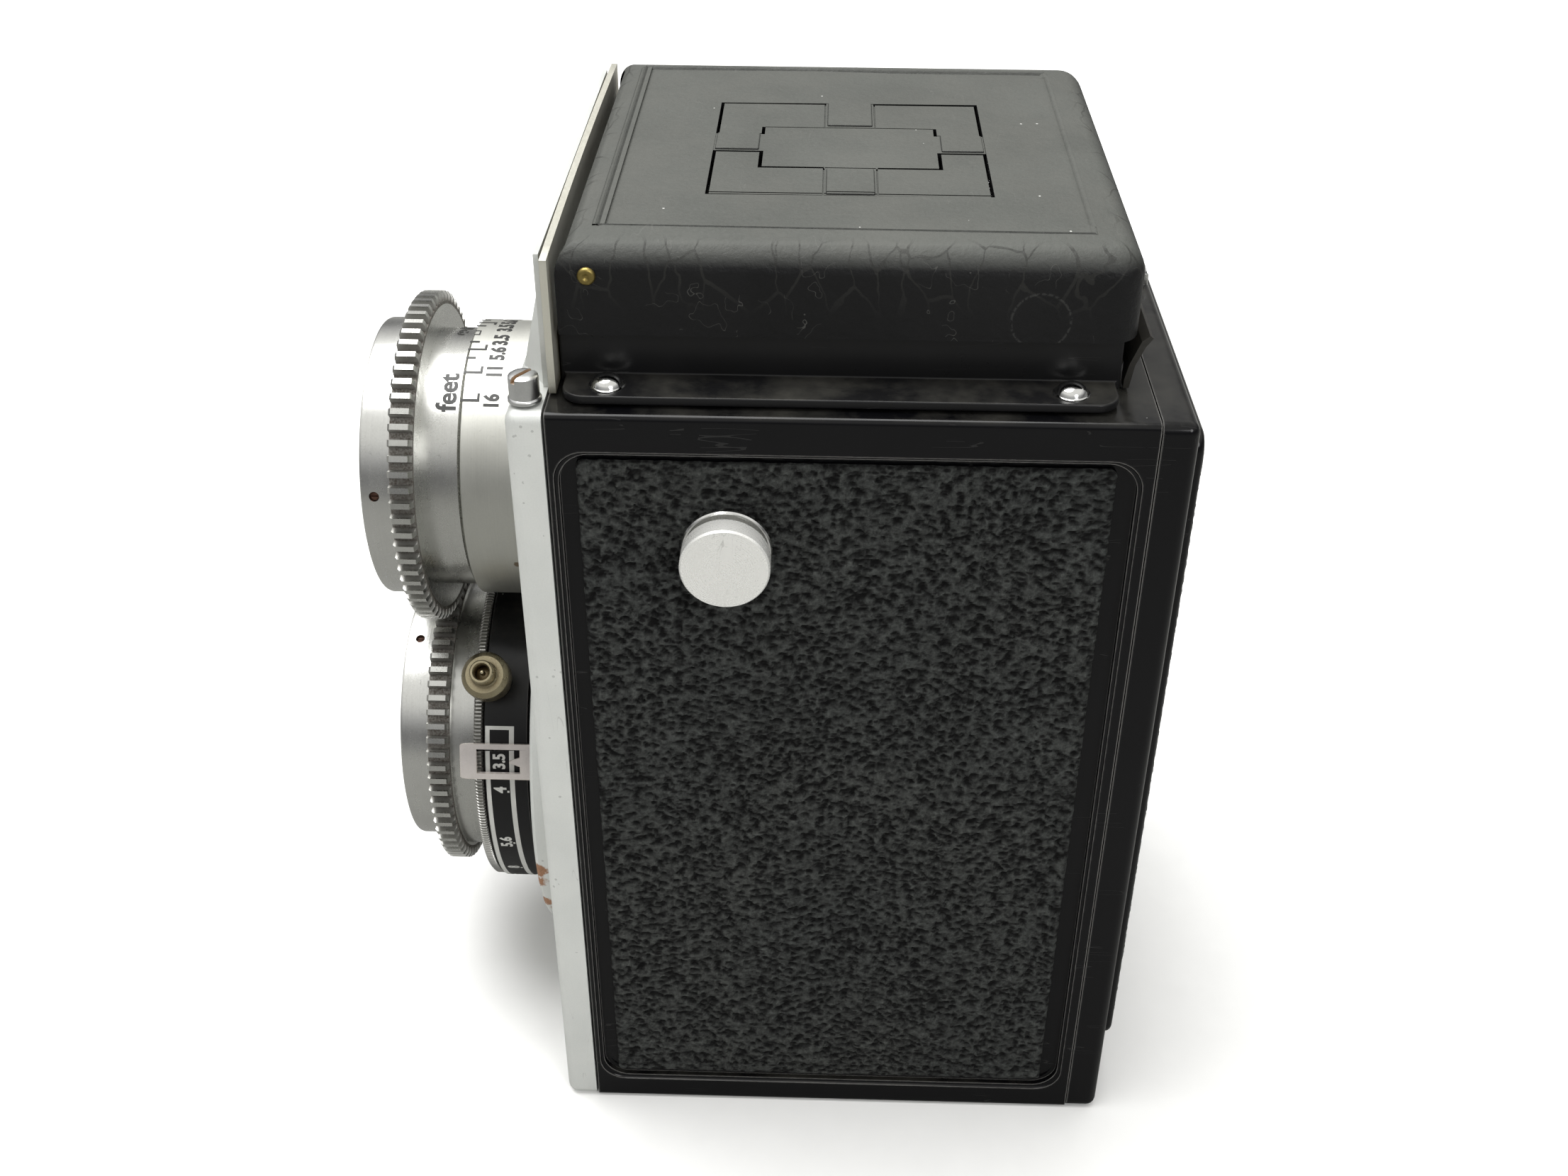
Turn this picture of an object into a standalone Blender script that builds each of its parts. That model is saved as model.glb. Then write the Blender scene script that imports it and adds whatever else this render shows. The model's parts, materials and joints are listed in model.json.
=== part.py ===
"""Twin lens reflex camera for 120 roll film, as an assembly of separate pieces.

Frame: +Z is up, the lenses look along -Y, +X is the side with the small pull knob.
The origin is the centre of the body's underside.
All named sizes are millimetres. MM turns them into Blender's metres.
"""

import math

import bmesh
import bpy
from mathutils import Matrix

MM = 0.001
GAP = 0.3                 # clearance between pieces that rest on each other

# Body shell, front casting and door
HALF_W = 37.5             # half of the body's width
BODY_Y = 32.45            # half of the side shell's depth
BODY_H = 107.4            # underside to deck
WALL = 2.4                # side wall, thick enough to take the leather recess
CAST_FRONT = -36.8        # front face of the front casting
DOOR_BACK = 36.7          # rear face of the door's rim
PANEL_BACK = 38.7         # rear face of the door's raised panel
RECESS = 1.2              # depth of the side recess
RECESS_Y = (-31.4, 30.8)
RECESS_Z = (4.1, 102.5)
LEATHER_Y = (-29.6, 28.6)
LEATHER_Z = (4.9, 101.7)

# Optical axes and the two geared focusing rings
TAKING_Z = 38.9
VIEWING_Z = 80.9          # the lenses stand 42 mm apart
MODULE = 0.6
TEETH = 70
PITCH_R = MODULE * TEETH / 2
GEAR_TIP_R = PITCH_R + 0.55
GEAR_ROOT_R = PITCH_R - 0.75
GEAR_Y = (-55.2, -52.3)
RIM_FRONT = -59.5
RIM_R = 18.06
FOCUS_R = 16.8            # sleeve that carries the distance scale
TAKING_SLEEVE_R = 19.4
BARREL_R = 17.9           # fixed viewing barrel
BARREL_FRONT = -47.2
SHUTTER_R = 23.8
SHUTTER_Y = (-46.9, -41.2)
SPEED_R = 23.6
SPEED_Y = (-48.4, -47.2)
BOSS_R = 29.5             # round boss that the shutter stands on
BOSS_FRONT = -40.0
SYNC_ANGLE = 46.3
TAB_ANGLE = 21.6
LEVER_ANGLE = 205.0

# Hood
LID_X = 31.9
LID_Y = (-31.1, 30.2)
LID_Z = (114.0, 124.1)
LID_SKIN = 1.0
PIVOT_Y = -27.75
PIVOT_Z = 120.75
PIVOT_FILLET = LID_Z[1] - PIVOT_Z
BASE_X = 30.2
BASE_Y = (-31.4, 28.8)
FLANGE_X = 35.65
FLANGE_Y = (-30.9, 28.3)
FLANGE_TOP = 108.7
FINDER_X = (-13.8, 17.3)
FINDER_Y = (-16.4, 15.2)
WING_HINGE_X = 28.2
WING_HINGE_Z = 115.5
WING_HALF = 26.0          # half of a side screen's length
WING_REACH = 27.8         # from its hinge to its free edge
REAR_HINGE_Y = 27.0
REAR_HINGE_Z = 112.9
MIRROR_Y = 3.4            # middle of the mirror
MIRROR_RISE = 82.5        # height of the mirror's plane where it crosses y = 0
MAGNIFIER_Y = 1.9
MAGNIFIER_Z = 119.3

# Film path and knobs
CHEEK_X = (33.2, 34.2)
TAKEUP_Y = 18.2
TAKEUP_Z = 78.7
SUPPLY_Y = -14.0
SUPPLY_Z = 15.4
SPOOL_R = 12.5
SPOOL_HALF = 32.7
GATE_Y = (28.6, 30.2)
FRAME = 56.0              # side of the square negative
ROLLER_Y = 28.8
ROLLER_TOP_Z = 69.3
ROLLER_LOW_Z = 6.4
TRIPOD_Y = 12.0           # behind the supply roll, under the lower baffle
BUSH_R = 6.0              # the tripod bush where it passes the floor
KNOB_Y = -13.3
KNOB_Z = 91.4
DOOR_HINGE_Y = 35.5
DOOR_HINGE_Z = 1.2
COVER_Z = 38.0            # pivot of the film window's cover
WINDOW_Z = 27.0

FRONTWARD = (math.radians(90), 0, 0)
LEFTWARD = (0, math.radians(90), 0)
RIGHTWARD = (0, math.radians(-90), 0)


def remove_everything():
    for obj in list(bpy.data.objects):
        bpy.data.objects.remove(obj, do_unlink=True)


def collection(name):
    made = bpy.data.collections.new(name)
    bpy.context.scene.collection.children.link(made)
    return made


remove_everything()
CAMERA = collection("twin_lens_reflex_camera")
CUTTERS = collection("cutters")


# ---------------------------------------------------------------- materials

def surface(name, colour, roughness, metallic=0.0, alpha=1.0):
    made = bpy.data.materials.new(name)
    made.use_nodes = True
    shader = made.node_tree.nodes["Principled BSDF"]
    shader.inputs["Base Color"].default_value = (*colour, 1.0)
    shader.inputs["Roughness"].default_value = roughness
    shader.inputs["Metallic"].default_value = metallic
    shader.inputs["Alpha"].default_value = alpha
    return made


def black_enamel(name):
    return surface(name, (0.012, 0.012, 0.013), 0.2)


def black_leather(name):
    return surface(name, (0.02, 0.02, 0.021), 0.6)


def matte_black(name):
    return surface(name, (0.015, 0.015, 0.015), 0.7)


def turned_aluminium(name):
    return surface(name, (0.72, 0.71, 0.68), 0.3, 1.0)


def cast_alloy(name):
    return surface(name, (0.55, 0.56, 0.55), 0.5, 0.7)


def bright_chrome(name):
    return surface(name, (0.8, 0.8, 0.78), 0.12, 1.0)


def bare_brass(name):
    return surface(name, (0.45, 0.34, 0.12), 0.35, 1.0)


def nickel(name):
    return surface(name, (0.62, 0.57, 0.42), 0.25, 1.0)


def sprung_steel(name):
    return surface(name, (0.4, 0.4, 0.4), 0.35, 1.0)


def clear_glass(name):
    return surface(name, (0.85, 0.9, 0.92), 0.03, 0.0, 0.35)


# ------------------------------------------------------------ shape helpers

def place(obj, name, finish=None):
    """Name the object and put it with the pieces, or with the cutters if it has no finish."""
    obj.name = name
    for owner in list(obj.users_collection):
        owner.objects.unlink(obj)
    if finish is None:
        CUTTERS.objects.link(obj)
        obj.hide_render = True
        obj.display_type = "WIRE"
    else:
        CAMERA.objects.link(obj)
        obj.data.materials.clear()
        obj.data.materials.append(finish(name))
    return obj


def mesh_object(name, bm, finish):
    bm.normal_update()
    mesh = bpy.data.meshes.new(name)
    bm.to_mesh(mesh)
    bm.free()
    obj = bpy.data.objects.new(name, mesh)
    bpy.context.scene.collection.objects.link(obj)
    return place(obj, name, finish)


def box(name, x, y, z, finish=None, radius=0.0, segments=3, pick=None):
    """A box between three pairs of planes. pick(edge centre, edge direction) says what is rounded."""
    bm = bmesh.new()
    bmesh.ops.create_cube(bm, size=1.0)
    size = ((x[1] - x[0]) * MM, (y[1] - y[0]) * MM, (z[1] - z[0]) * MM)
    middle = ((x[0] + x[1]) / 2 * MM, (y[0] + y[1]) / 2 * MM, (z[0] + z[1]) / 2 * MM)
    bmesh.ops.scale(bm, vec=size, verts=bm.verts)
    if radius:
        edges = []
        for edge in bm.edges:
            start, end = edge.verts[0].co, edge.verts[1].co
            centre = (start + end) / 2
            along = max(range(3), key=lambda i: abs(end[i] - start[i]))
            if pick is None or pick(centre, "xyz"[along]):
                edges.append(edge)
        bmesh.ops.bevel(bm, geom=edges, offset=radius * MM, offset_type="OFFSET",
                        segments=segments, profile=0.5, affect="EDGES", clamp_overlap=True)
    obj = mesh_object(name, bm, finish)
    obj.location = middle
    return obj


def turned(name, profile, centre, facing, finish=None, steps=48, closed=False):
    """Screw a profile of (radius, height) round the axis that facing points along."""
    mesh = bpy.data.meshes.new(name)
    verts = [(radius * MM, 0.0, height * MM) for radius, height in profile]
    edges = [(i, i + 1) for i in range(len(verts) - 1)]
    if closed:
        edges.append((len(verts) - 1, 0))
    mesh.from_pydata(verts, edges, [])
    obj = bpy.data.objects.new(name, mesh)
    bpy.context.scene.collection.objects.link(obj)
    place(obj, name, finish)
    screw = obj.modifiers.new("turn", "SCREW")
    screw.axis = "Z"
    screw.steps = steps
    screw.render_steps = steps
    screw.use_merge_vertices = True
    screw.merge_threshold = 0.00001
    screw.use_smooth_shade = False
    obj.location = [value * MM for value in centre]
    obj.rotation_euler = facing
    return obj


def solid(name, radius, low, high, centre, facing, finish=None, steps=24):
    """A plain round bar between two heights along its own axis."""
    return turned(name, [(0, high), (radius, high), (radius, low), (0, low)],
                  centre, facing, finish, steps)


def ring(name, inner, outer, low, high, centre, facing, finish=None, steps=48):
    return turned(name, [(inner, high), (outer, high), (outer, low), (inner, low)],
                  centre, facing, finish, steps, closed=True)


PLANES = {
    "x": Matrix(((0, 0, 1, 0), (1, 0, 0, 0), (0, 1, 0, 0), (0, 0, 0, 1))),
    "y": Matrix(((1, 0, 0, 0), (0, 0, -1, 0), (0, 1, 0, 0), (0, 0, 0, 1))),
    "z": Matrix.Identity(4),
}


def plate(name, loops, axis, low, high, finish=None):
    """Fill flat closed outlines and give them thickness between low and high along the axis."""
    curve = bpy.data.curves.new(name, "CURVE")
    curve.dimensions = "2D"
    curve.fill_mode = "BOTH"
    curve.extrude = (high - low) / 2 * MM
    for loop in loops:
        spline = curve.splines.new("POLY")
        spline.points.add(len(loop) - 1)
        for point, (u, v) in zip(spline.points, loop):
            point.co = (u * MM, v * MM, 0.0, 1.0)
        spline.use_cyclic_u = True
    flat = bpy.data.objects.new(name + "_outline", curve)
    bpy.context.scene.collection.objects.link(flat)
    middle = (low + high) / 2 * MM
    offset = {"x": (middle, 0, 0), "y": (0, middle, 0), "z": (0, 0, middle)}[axis]
    flat.matrix_world = Matrix.Translation(offset) @ PLANES[axis]
    bpy.context.view_layer.update()
    seen = flat.evaluated_get(bpy.context.evaluated_depsgraph_get())
    mesh = bpy.data.meshes.new_from_object(seen)
    bm = bmesh.new()
    bm.from_mesh(mesh)
    bmesh.ops.remove_doubles(bm, verts=bm.verts, dist=0.000001)
    bmesh.ops.recalc_face_normals(bm, faces=bm.faces)
    obj = mesh_object(name, bm, finish)
    obj.matrix_world = flat.matrix_world
    bpy.data.objects.remove(flat, do_unlink=True)
    return obj


def boolean(target, tool, operation):
    step = target.modifiers.new(tool.name, "BOOLEAN")
    step.operation = operation
    step.object = tool
    step.solver = "EXACT"
    return target


def cut(target, *tools):
    for tool in tools:
        boolean(target, tool, "DIFFERENCE")
    return target


def join(target, *tools):
    for tool in tools:
        boolean(target, tool, "UNION")
    return target


def rounded_rectangle(u, v, radius, segments=4):
    """Corner arcs of a rectangle between two pairs of sides, as one closed loop."""
    points = []
    corners = ((u[1] - radius, v[1] - radius, 0), (u[0] + radius, v[1] - radius, 90),
               (u[0] + radius, v[0] + radius, 180), (u[1] - radius, v[0] + radius, 270))
    for middle_u, middle_v, start in corners:
        for step in range(segments + 1):
            angle = math.radians(start + 90 * step / segments)
            points.append((middle_u + radius * math.cos(angle), middle_v + radius * math.sin(angle)))
    return points


def circle(centre_u, centre_v, radius, count=24):
    turns = [2 * math.pi * i / count for i in range(count)]
    return [(centre_u + radius * math.cos(t), centre_v + radius * math.sin(t)) for t in turns]


def pivot(name, position, *pieces):
    """An empty on a joint's axis that carries the moving pieces."""
    empty = bpy.data.objects.new(name, None)
    empty.empty_display_size = 0.005
    empty.location = [value * MM for value in position]
    CAMERA.objects.link(empty)
    for piece in pieces:
        piece.parent = empty
        piece.location = piece.location - empty.location
    return empty


# --------------------------------------------------------------- body pieces

def body_shell():
    """Pressed box, open at the front and the rear, with a recess in each side for the leather."""
    shell = box("body_shell", (-HALF_W, HALF_W), (-BODY_Y, BODY_Y), (0, BODY_H), black_enamel,
                radius=0.8, segments=2, pick=lambda centre, along: along == "y")
    inside = box("cut_body_inside", (-HALF_W + WALL, HALF_W - WALL), (-BODY_Y - 5, BODY_Y + 5),
                 (WALL, BODY_H - WALL))
    deck = box("cut_deck_window", (-28, 28), (-29.5, 25.5), (BODY_H - 5, BODY_H + 5))
    cut(shell, inside, deck)
    for side, sign in (("left", 1), ("right", -1)):
        ends = sorted((sign * (HALF_W - RECESS), sign * (HALF_W + 5)))
        recess = plate("cut_recess_" + side, [rounded_rectangle(RECESS_Y, RECESS_Z, 3.0)], "x", *ends)
        cut(shell, recess)
    knob_hole = solid("cut_knob_hole", 3.3, -5, 5, (HALF_W, KNOB_Y, KNOB_Z), LEFTWARD)
    wind_hole = solid("cut_wind_hole", 4.3, -5, 5, (-HALF_W, TAKEUP_Y, TAKEUP_Z), LEFTWARD)
    bush_hole = solid("cut_bush_hole", BUSH_R + GAP, -5, 5, (0, TRIPOD_Y, 0), (0, 0, 0))
    return cut(shell, knob_hole, wind_hole, bush_hole)


def leather_panel(side, sign, hole):
    """One flat panel of grained leather, glued into the side recess."""
    outer = rounded_rectangle(LEATHER_Y, LEATHER_Z, 1.2, 3)
    ends = sorted((sign * (HALF_W - RECESS + GAP), sign * (HALF_W - RECESS + GAP + 0.6)))
    return plate("side_leather_" + side, [outer, circle(*hole)], "x", *ends, black_leather)


def front_casting():
    """Die-cast front plate with the shutter's boss, two bores and a shield behind the lenses."""
    plate_back = -BODY_Y - GAP
    casting = box("front_casting", (-HALF_W, HALF_W), (CAST_FRONT, plate_back), (0, BODY_H),
                  cast_alloy, radius=1.4, segments=3,
                  pick=lambda centre, along: centre.y < 0 or along == "y")
    boss = solid("add_boss", BOSS_R, -CAST_FRONT - 1, -BOSS_FRONT, (0, 0, TAKING_Z), FRONTWARD, steps=48)
    relief = solid("cut_boss_relief", BARREL_R + 0.4, -CAST_FRONT, -BOSS_FRONT + 5,
                   (0, 0, VIEWING_Z), FRONTWARD, steps=48)
    cut(boss, relief)
    wedge = plate("add_gusset", [[(CAST_FRONT + 0.2, BODY_H - 2), (CAST_FRONT + 0.2, BODY_H),
                                  (-33.3, 118.5), (-33.3, 122.7), (plate_back, 122.7),
                                  (plate_back, BODY_H - 2)]], "x", -31.2, 31.2)
    join(casting, boss, wedge)
    for side, sign in (("left", 1), ("right", -1)):
        trim = plate("cut_gusset_" + side, [[(sign * 25.5, BODY_H), (sign * 31.0, 118.5),
                                             (sign * 33.0, 118.5), (sign * 33.0, BODY_H)]],
                     "y", CAST_FRONT - 1, -33.3)
        cut(casting, trim)
    taking = solid("cut_taking_bore", 13.2, 20, 50, (0, 0, TAKING_Z), FRONTWARD, steps=32)
    viewing = solid("cut_viewing_bore", 13.2, 20, 50, (0, 0, VIEWING_Z), FRONTWARD, steps=32)
    return cut(casting, taking, viewing)


def name_plate():
    """Thin plate behind the shield, left blank."""
    return box("name_plate", (-33.2, 33.2), (-32.4, -31.6), (BODY_H + GAP, 122.9), cast_alloy)


def strap_post(side, sign):
    """Slotted post on a top corner of the casting."""
    post = turned("strap_post_" + side, [(0, 3.4), (1.3, 3.4), (1.65, 3.05), (1.65, 0), (0, 0)],
                  (sign * 34.6, -34.75, BODY_H + GAP), (0, 0, 0), cast_alloy, 20)
    slot = box("cut_post_slot_" + side, (-3, 3), (-0.3, 0.3), (-0.6, 0.6))
    slot.location = (sign * 34.6 * MM, -34.75 * MM, (BODY_H + GAP + 3.4) * MM)
    slot.rotation_euler = (0, 0, math.radians(-35))
    return cut(post, slot)


def tripod_bush():
    """Threaded bush in the underside, drawn as a plain quarter-inch hole."""
    profile = [(3.1, 6.0), (7.6, 6.0), (7.6, WALL + GAP), (BUSH_R, WALL + GAP), (BUSH_R, 0.0), (3.1, 0.0)]
    return turned("tripod_bush", profile, (0, TRIPOD_Y, 0), (0, 0, 0), nickel, 24, closed=True)


# --------------------------------------------------------------- hood pieces

def hood_base():
    """Pressed collar with a flange along each side and two ears for the lid's pivots."""
    bottom = BODY_H + GAP
    base = box("hood_base", (-BASE_X, BASE_X), BASE_Y, (bottom, 116.4), black_enamel)
    flange = plate("add_flange", [rounded_rectangle((-FLANGE_X, FLANGE_X), FLANGE_Y, 2.6)],
                   "z", bottom, FLANGE_TOP)
    ears = plate("add_ears", [[(PIVOT_Y - 1.9, 112.0), (PIVOT_Y - 1.9, PIVOT_Z)]
                              + [(PIVOT_Y + 1.9 * math.cos(t), PIVOT_Z + 1.9 * math.sin(t))
                                 for t in (2.6, 2.1, 1.57, 1.05, 0.52)]
                              + [(PIVOT_Y + 1.9, PIVOT_Z), (PIVOT_Y + 4.0, 112.0)]],
                 "x", -BASE_X, BASE_X)
    join(base, flange, ears)
    inside = box("cut_base_inside", (-BASE_X + 1, BASE_X - 1), (BASE_Y[0] + 1, BASE_Y[1] - 1), (100, 130))
    front = box("cut_base_front", (-40, 40), (BASE_Y[0] - 1, -29.9), (113.4, 130))
    between = box("cut_base_between", (-BASE_X + 1, BASE_X - 1), (-40, -20), (113.4, 130))
    rear = box("cut_base_rear", (-40, 40), (BASE_Y[1] - 1.01, 40), (114.0, 130))
    holes = solid("cut_ear_holes", 1.0, -40, 40, (0, PIVOT_Y, PIVOT_Z), LEFTWARD, steps=16)
    return cut(base, inside, front, between, rear, holes)


def hood_rivet(where, x, y):
    """Chrome dome rivet through the flange, shown as its head."""
    dome = [(1.75 * math.sin(t), 1.25 * math.cos(t)) for t in (0, 0.4, 0.8, 1.2, math.pi / 2)]
    return turned("hood_rivet_" + where, dome + [(0, 0)], (x, y, FLANGE_TOP + 0.15), (0, 0, 0),
                  bright_chrome, 12)


def lid_catch():
    """Curled spring strip behind the hood base, with a half-round opening at its foot."""
    low = BODY_H + GAP
    strip = plate("lid_catch", [[(29.3, low), (29.9, low), (30.3, 110.4), (31.2, 112.6), (31.9, 113.6),
                                 (31.5, 113.9), (30.7, 113.2), (29.7, 110.6), (29.3, low + 1.0)]],
                  "x", -29.6, 29.6, cast_alloy)
    mouth = plate("cut_catch_mouth", [circle(26.2, low, 2.0, 16)], "y", 27, 33)
    mouth_far = plate("cut_catch_mouth_far", [circle(-26.2, low, 2.0, 16)], "y", 27, 33)
    return cut(strip, mouth, mouth_far)


def lid_pivot(side, sign):
    """Brass rivet that the lid turns on."""
    facing = LEFTWARD if sign > 0 else RIGHTWARD
    return turned("lid_pivot_" + side,
                  [(0, 32.5), (0.7, 32.5), (0.95, 32.3), (0.95, 32.1), (0.65, 32.1), (0.65, 28.9), (0, 28.9)],
                  (0, PIVOT_Y, PIVOT_Z), facing, bare_brass, 12)


def hood_lid():
    """Pressed lid: a flat top with side and rear skirts, and a cut-out for the finder flap."""
    lid = box("hood_lid", (-LID_X, LID_X), LID_Y, (LID_Z[0] - 5, LID_Z[1]), black_leather,
              radius=PIVOT_FILLET, segments=4,
              pick=lambda centre, along: (along == "z" and centre.y > 0) or (along != "z" and centre.z > 0))
    below = box("cut_lid_below", (-40, 40), (-40, 40), (LID_Z[0] - 10, LID_Z[0]))
    inside = box("cut_lid_inside", (-LID_X + LID_SKIN, LID_X - LID_SKIN), (LID_Y[0] - 5, LID_Y[1] - LID_SKIN),
                 (LID_Z[0] - 10, LID_Z[1] - LID_SKIN), radius=1.6, segments=3,
                 pick=lambda centre, along: (along == "z" and centre.y > 0)
                 or (along != "z" and centre.z > 0 and (along == "y" or centre.y > 0)))
    window = box("cut_finder_window", FINDER_X, FINDER_Y, (LID_Z[1] - 5, LID_Z[1] + 5))
    holes = solid("cut_lid_pivot_holes", 1.0, -40, 40, (0, PIVOT_Y, PIVOT_Z), LEFTWARD, steps=16)
    return cut(lid, below, inside, window, holes)


def finder_flap():
    """Sports finder flap in the middle of the lid, hinged at its crease."""
    return box("finder_flap", (FINDER_X[0] + 0.4, FINDER_X[1] - 0.2),
               (FINDER_Y[0] + 0.4, FINDER_Y[1] - 0.4), (LID_Z[1] - LID_SKIN, LID_Z[1]), black_leather)


def wing(side, sign):
    """Folding side screen: a sheet with its front corner cut away, on a rolled hinge edge."""
    outline = [(0.3, -WING_HALF), (8.0, -WING_HALF), (WING_REACH, -7.5), (WING_REACH, WING_HALF),
               (0.3, WING_HALF)]
    sheet = plate("wing_" + side, [[(sign * (WING_HINGE_X - u), v) for u, v in outline]],
                  "z", WING_HINGE_Z - 0.25, WING_HINGE_Z + 0.25, matte_black)
    roll = solid("add_wing_roll_" + side, 0.55, -WING_HALF, WING_HALF, (sign * WING_HINGE_X, 0, WING_HINGE_Z),
                 FRONTWARD, steps=12)
    return join(sheet, roll)


def hood_rear_panel():
    """Folding rear screen, hinged on the hood base's rear wall and stored under the wings."""
    height = 15.0
    half = 26.0
    outline = [(-half, 0.0), (half, 0.0), (half - height, -height), (height - half, -height)]
    sheet = plate("hood_rear_panel", [[(x, REAR_HINGE_Y - 0.2 + y) for x, y in outline]],
                  "z", REAR_HINGE_Z - 0.25, REAR_HINGE_Z + 0.25, matte_black)
    roll = solid("add_rear_roll", 0.5, -half, half, (0, REAR_HINGE_Y, REAR_HINGE_Z), LEFTWARD, steps=12)
    return join(sheet, roll)


def magnifier():
    """Swing-out frame under the lid and the lens that it carries."""
    middle = MAGNIFIER_Y + 13.5
    frame = plate("magnifier_frame", [rounded_rectangle((-11.8, 11.8), (MAGNIFIER_Y - 0.6, MAGNIFIER_Y + 25.2), 2.0, 3),
                                      circle(0, middle, 9.9, 24)],
                  "z", MAGNIFIER_Z - 0.5, MAGNIFIER_Z + 0.5, matte_black)
    bulge = [(9.5 * math.sin(t) / math.sin(0.6), 1.6 * (math.cos(t) - math.cos(0.6)) / (1 - math.cos(0.6)))
             for t in (0, 0.2, 0.4, 0.6)]
    profile = bulge + [(radius, -height) for radius, height in reversed(bulge)]
    profile[3] = (9.5, 0.35)
    profile[4] = (9.5, -0.35)
    lens = turned("magnifier_lens", profile, (0, middle, MAGNIFIER_Z), (0, 0, 0), clear_glass, 24)
    return frame, lens


def focusing_screen():
    """Ground glass on the deck, inside the hood base."""
    return box("focusing_screen", (-28.9, 28.9), (-30.1, 27.4), (BODY_H + GAP, 109.2), clear_glass)


def mirror():
    """Front-silvered mirror at 45 degrees behind the viewing lens."""
    half = 26.4
    glass = box("mirror", (-29.5, 29.5), (-half, half), (-1.2, 0.0), bright_chrome)
    glass.location = (0, MIRROR_Y * MM, (MIRROR_Y + MIRROR_RISE) * MM)
    glass.rotation_euler = (math.radians(45), 0, 0)
    shift = Matrix.Translation((0, 0, -0.6 * MM))
    glass.data.transform(shift)
    return glass


def mirror_frame():
    """Bent sheet that carries the mirror and closes the viewing chamber off from the taking one."""
    thick = 0.8
    shelf_z = 61.3
    behind = MIRROR_RISE - 1.2 * math.sqrt(2) - 0.4
    bend_y = shelf_z - behind
    top_y = 22.0
    slant = thick / math.sqrt(2)
    outline = [(-32.2, shelf_z - thick), (bend_y + thick * math.tan(math.radians(22.5)), shelf_z - thick),
               (top_y + slant, top_y + behind - slant), (top_y, top_y + behind), (bend_y, shelf_z),
               (-32.2, shelf_z)]
    return plate("mirror_frame", [outline], "x", -32.4, 32.4, matte_black)


# --------------------------------------------------------- viewing lens unit

def gear_outline():
    """One closed loop of straight-flanked teeth."""
    pitch = 2 * math.pi / TEETH
    points = []
    for tooth in range(TEETH):
        middle = tooth * pitch
        flank = ((GEAR_ROOT_R, -0.25), (GEAR_TIP_R, -0.10), (GEAR_TIP_R, 0.10), (GEAR_ROOT_R, 0.25))
        for radius, share in flank:
            angle = middle + share * pitch
            points.append((radius * math.cos(angle), radius * math.sin(angle)))
    return points


def geared_sleeve(name, axis_z, turn, sleeve_r, sleeve_back):
    """A disc of teeth joined to the sleeve behind it."""
    teeth = plate(name, [gear_outline(), circle(0, 0, 12.4, 32)], "y", *GEAR_Y, turned_aluminium)
    spin = Matrix.Translation((0, 0, axis_z * MM)) @ Matrix.Rotation(turn, 4, "Y")
    teeth.matrix_world = spin @ teeth.matrix_world
    sleeve = ring("add_sleeve_" + name, 12.7, sleeve_r, -sleeve_back, -GEAR_Y[1] + 0.4, (0, 0, axis_z),
                  FRONTWARD, None, 32)
    return join(teeth, sleeve)


def viewing_focus_ring():
    """Focusing sleeve of the viewing lens, with the distance scale and the gear."""
    return geared_sleeve("viewing_focus_ring", VIEWING_Z, math.pi / TEETH, FOCUS_R, BARREL_FRONT - GAP)


def taking_focus_ring():
    """Focusing sleeve of the taking lens, in mesh with the viewing lens's gear."""
    return geared_sleeve("taking_focus_ring", TAKING_Z, 0.0, TAKING_SLEEVE_R, SPEED_Y[0] - GAP)


def lens_rim(name, axis_z):
    """Front rim, held on the sleeve by a set screw in its side."""
    front = -RIM_FRONT
    return turned(name, [(16.2, front), (RIM_R - 0.4, front), (RIM_R, front - 0.4), (RIM_R, -GEAR_Y[0] + GAP),
                         (12.2, -GEAR_Y[0] + GAP)],
                  (0, 0, axis_z), FRONTWARD, turned_aluminium, 36, closed=True)


def front_lens(name, axis_z):
    """Domed front element."""
    dome = [(11.9 * math.sin(t) / math.sin(0.5), 55.9 + 1.6 * (math.cos(t) - math.cos(0.5)) / (1 - math.cos(0.5)))
            for t in (0, 0.17, 0.34, 0.5)]
    return turned(name, dome + [(11.9, 53.4), (0, 53.4)], (0, 0, axis_z), FRONTWARD, clear_glass, 24)


def viewing_barrel():
    """Fixed barrel with the depth-of-field scale, screwed to the casting."""
    profile = [(13.6, -BARREL_FRONT), (BARREL_R, -BARREL_FRONT), (BARREL_R, -CAST_FRONT + GAP),
               (13.6, -CAST_FRONT + GAP)]
    return turned("viewing_barrel", profile, (0, 0, VIEWING_Z), FRONTWARD, turned_aluminium, 48, closed=True)


# ---------------------------------------------------------- taking lens unit

def shutter_housing():
    """Drum-shaped shutter case: a front wall with the lens opening, and a slot for the lever."""
    front = -SHUTTER_Y[0]
    back = -SHUTTER_Y[1]
    profile = [(14.0, front), (SHUTTER_R, front), (SHUTTER_R, back), (SHUTTER_R - 1.3, back),
               (SHUTTER_R - 1.3, front - 1.0), (14.0, front - 1.0)]
    housing = turned("shutter_housing", profile, (0, 0, TAKING_Z), FRONTWARD, black_enamel, 48, closed=True)
    slot = box("cut_lever_slot", (SHUTTER_R - 4, SHUTTER_R + 4), (-45.7, -43.9), (-4.6, 1.8))
    slot.data.transform(Matrix.Translation((SHUTTER_R * MM, 0, -1.4 * MM)))
    slot.location = (0, -44.8 * MM, TAKING_Z * MM)
    slot.rotation_euler = (0, math.radians(-LEVER_ANGLE), 0)
    return cut(housing, slot)


def speed_ring():
    """Ring with a milled edge that sets the shutter speed."""
    return ring("speed_ring", 14.2, SPEED_R, -SPEED_Y[1], -SPEED_Y[0], (0, 0, TAKING_Z), FRONTWARD,
                bright_chrome, 48)


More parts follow.
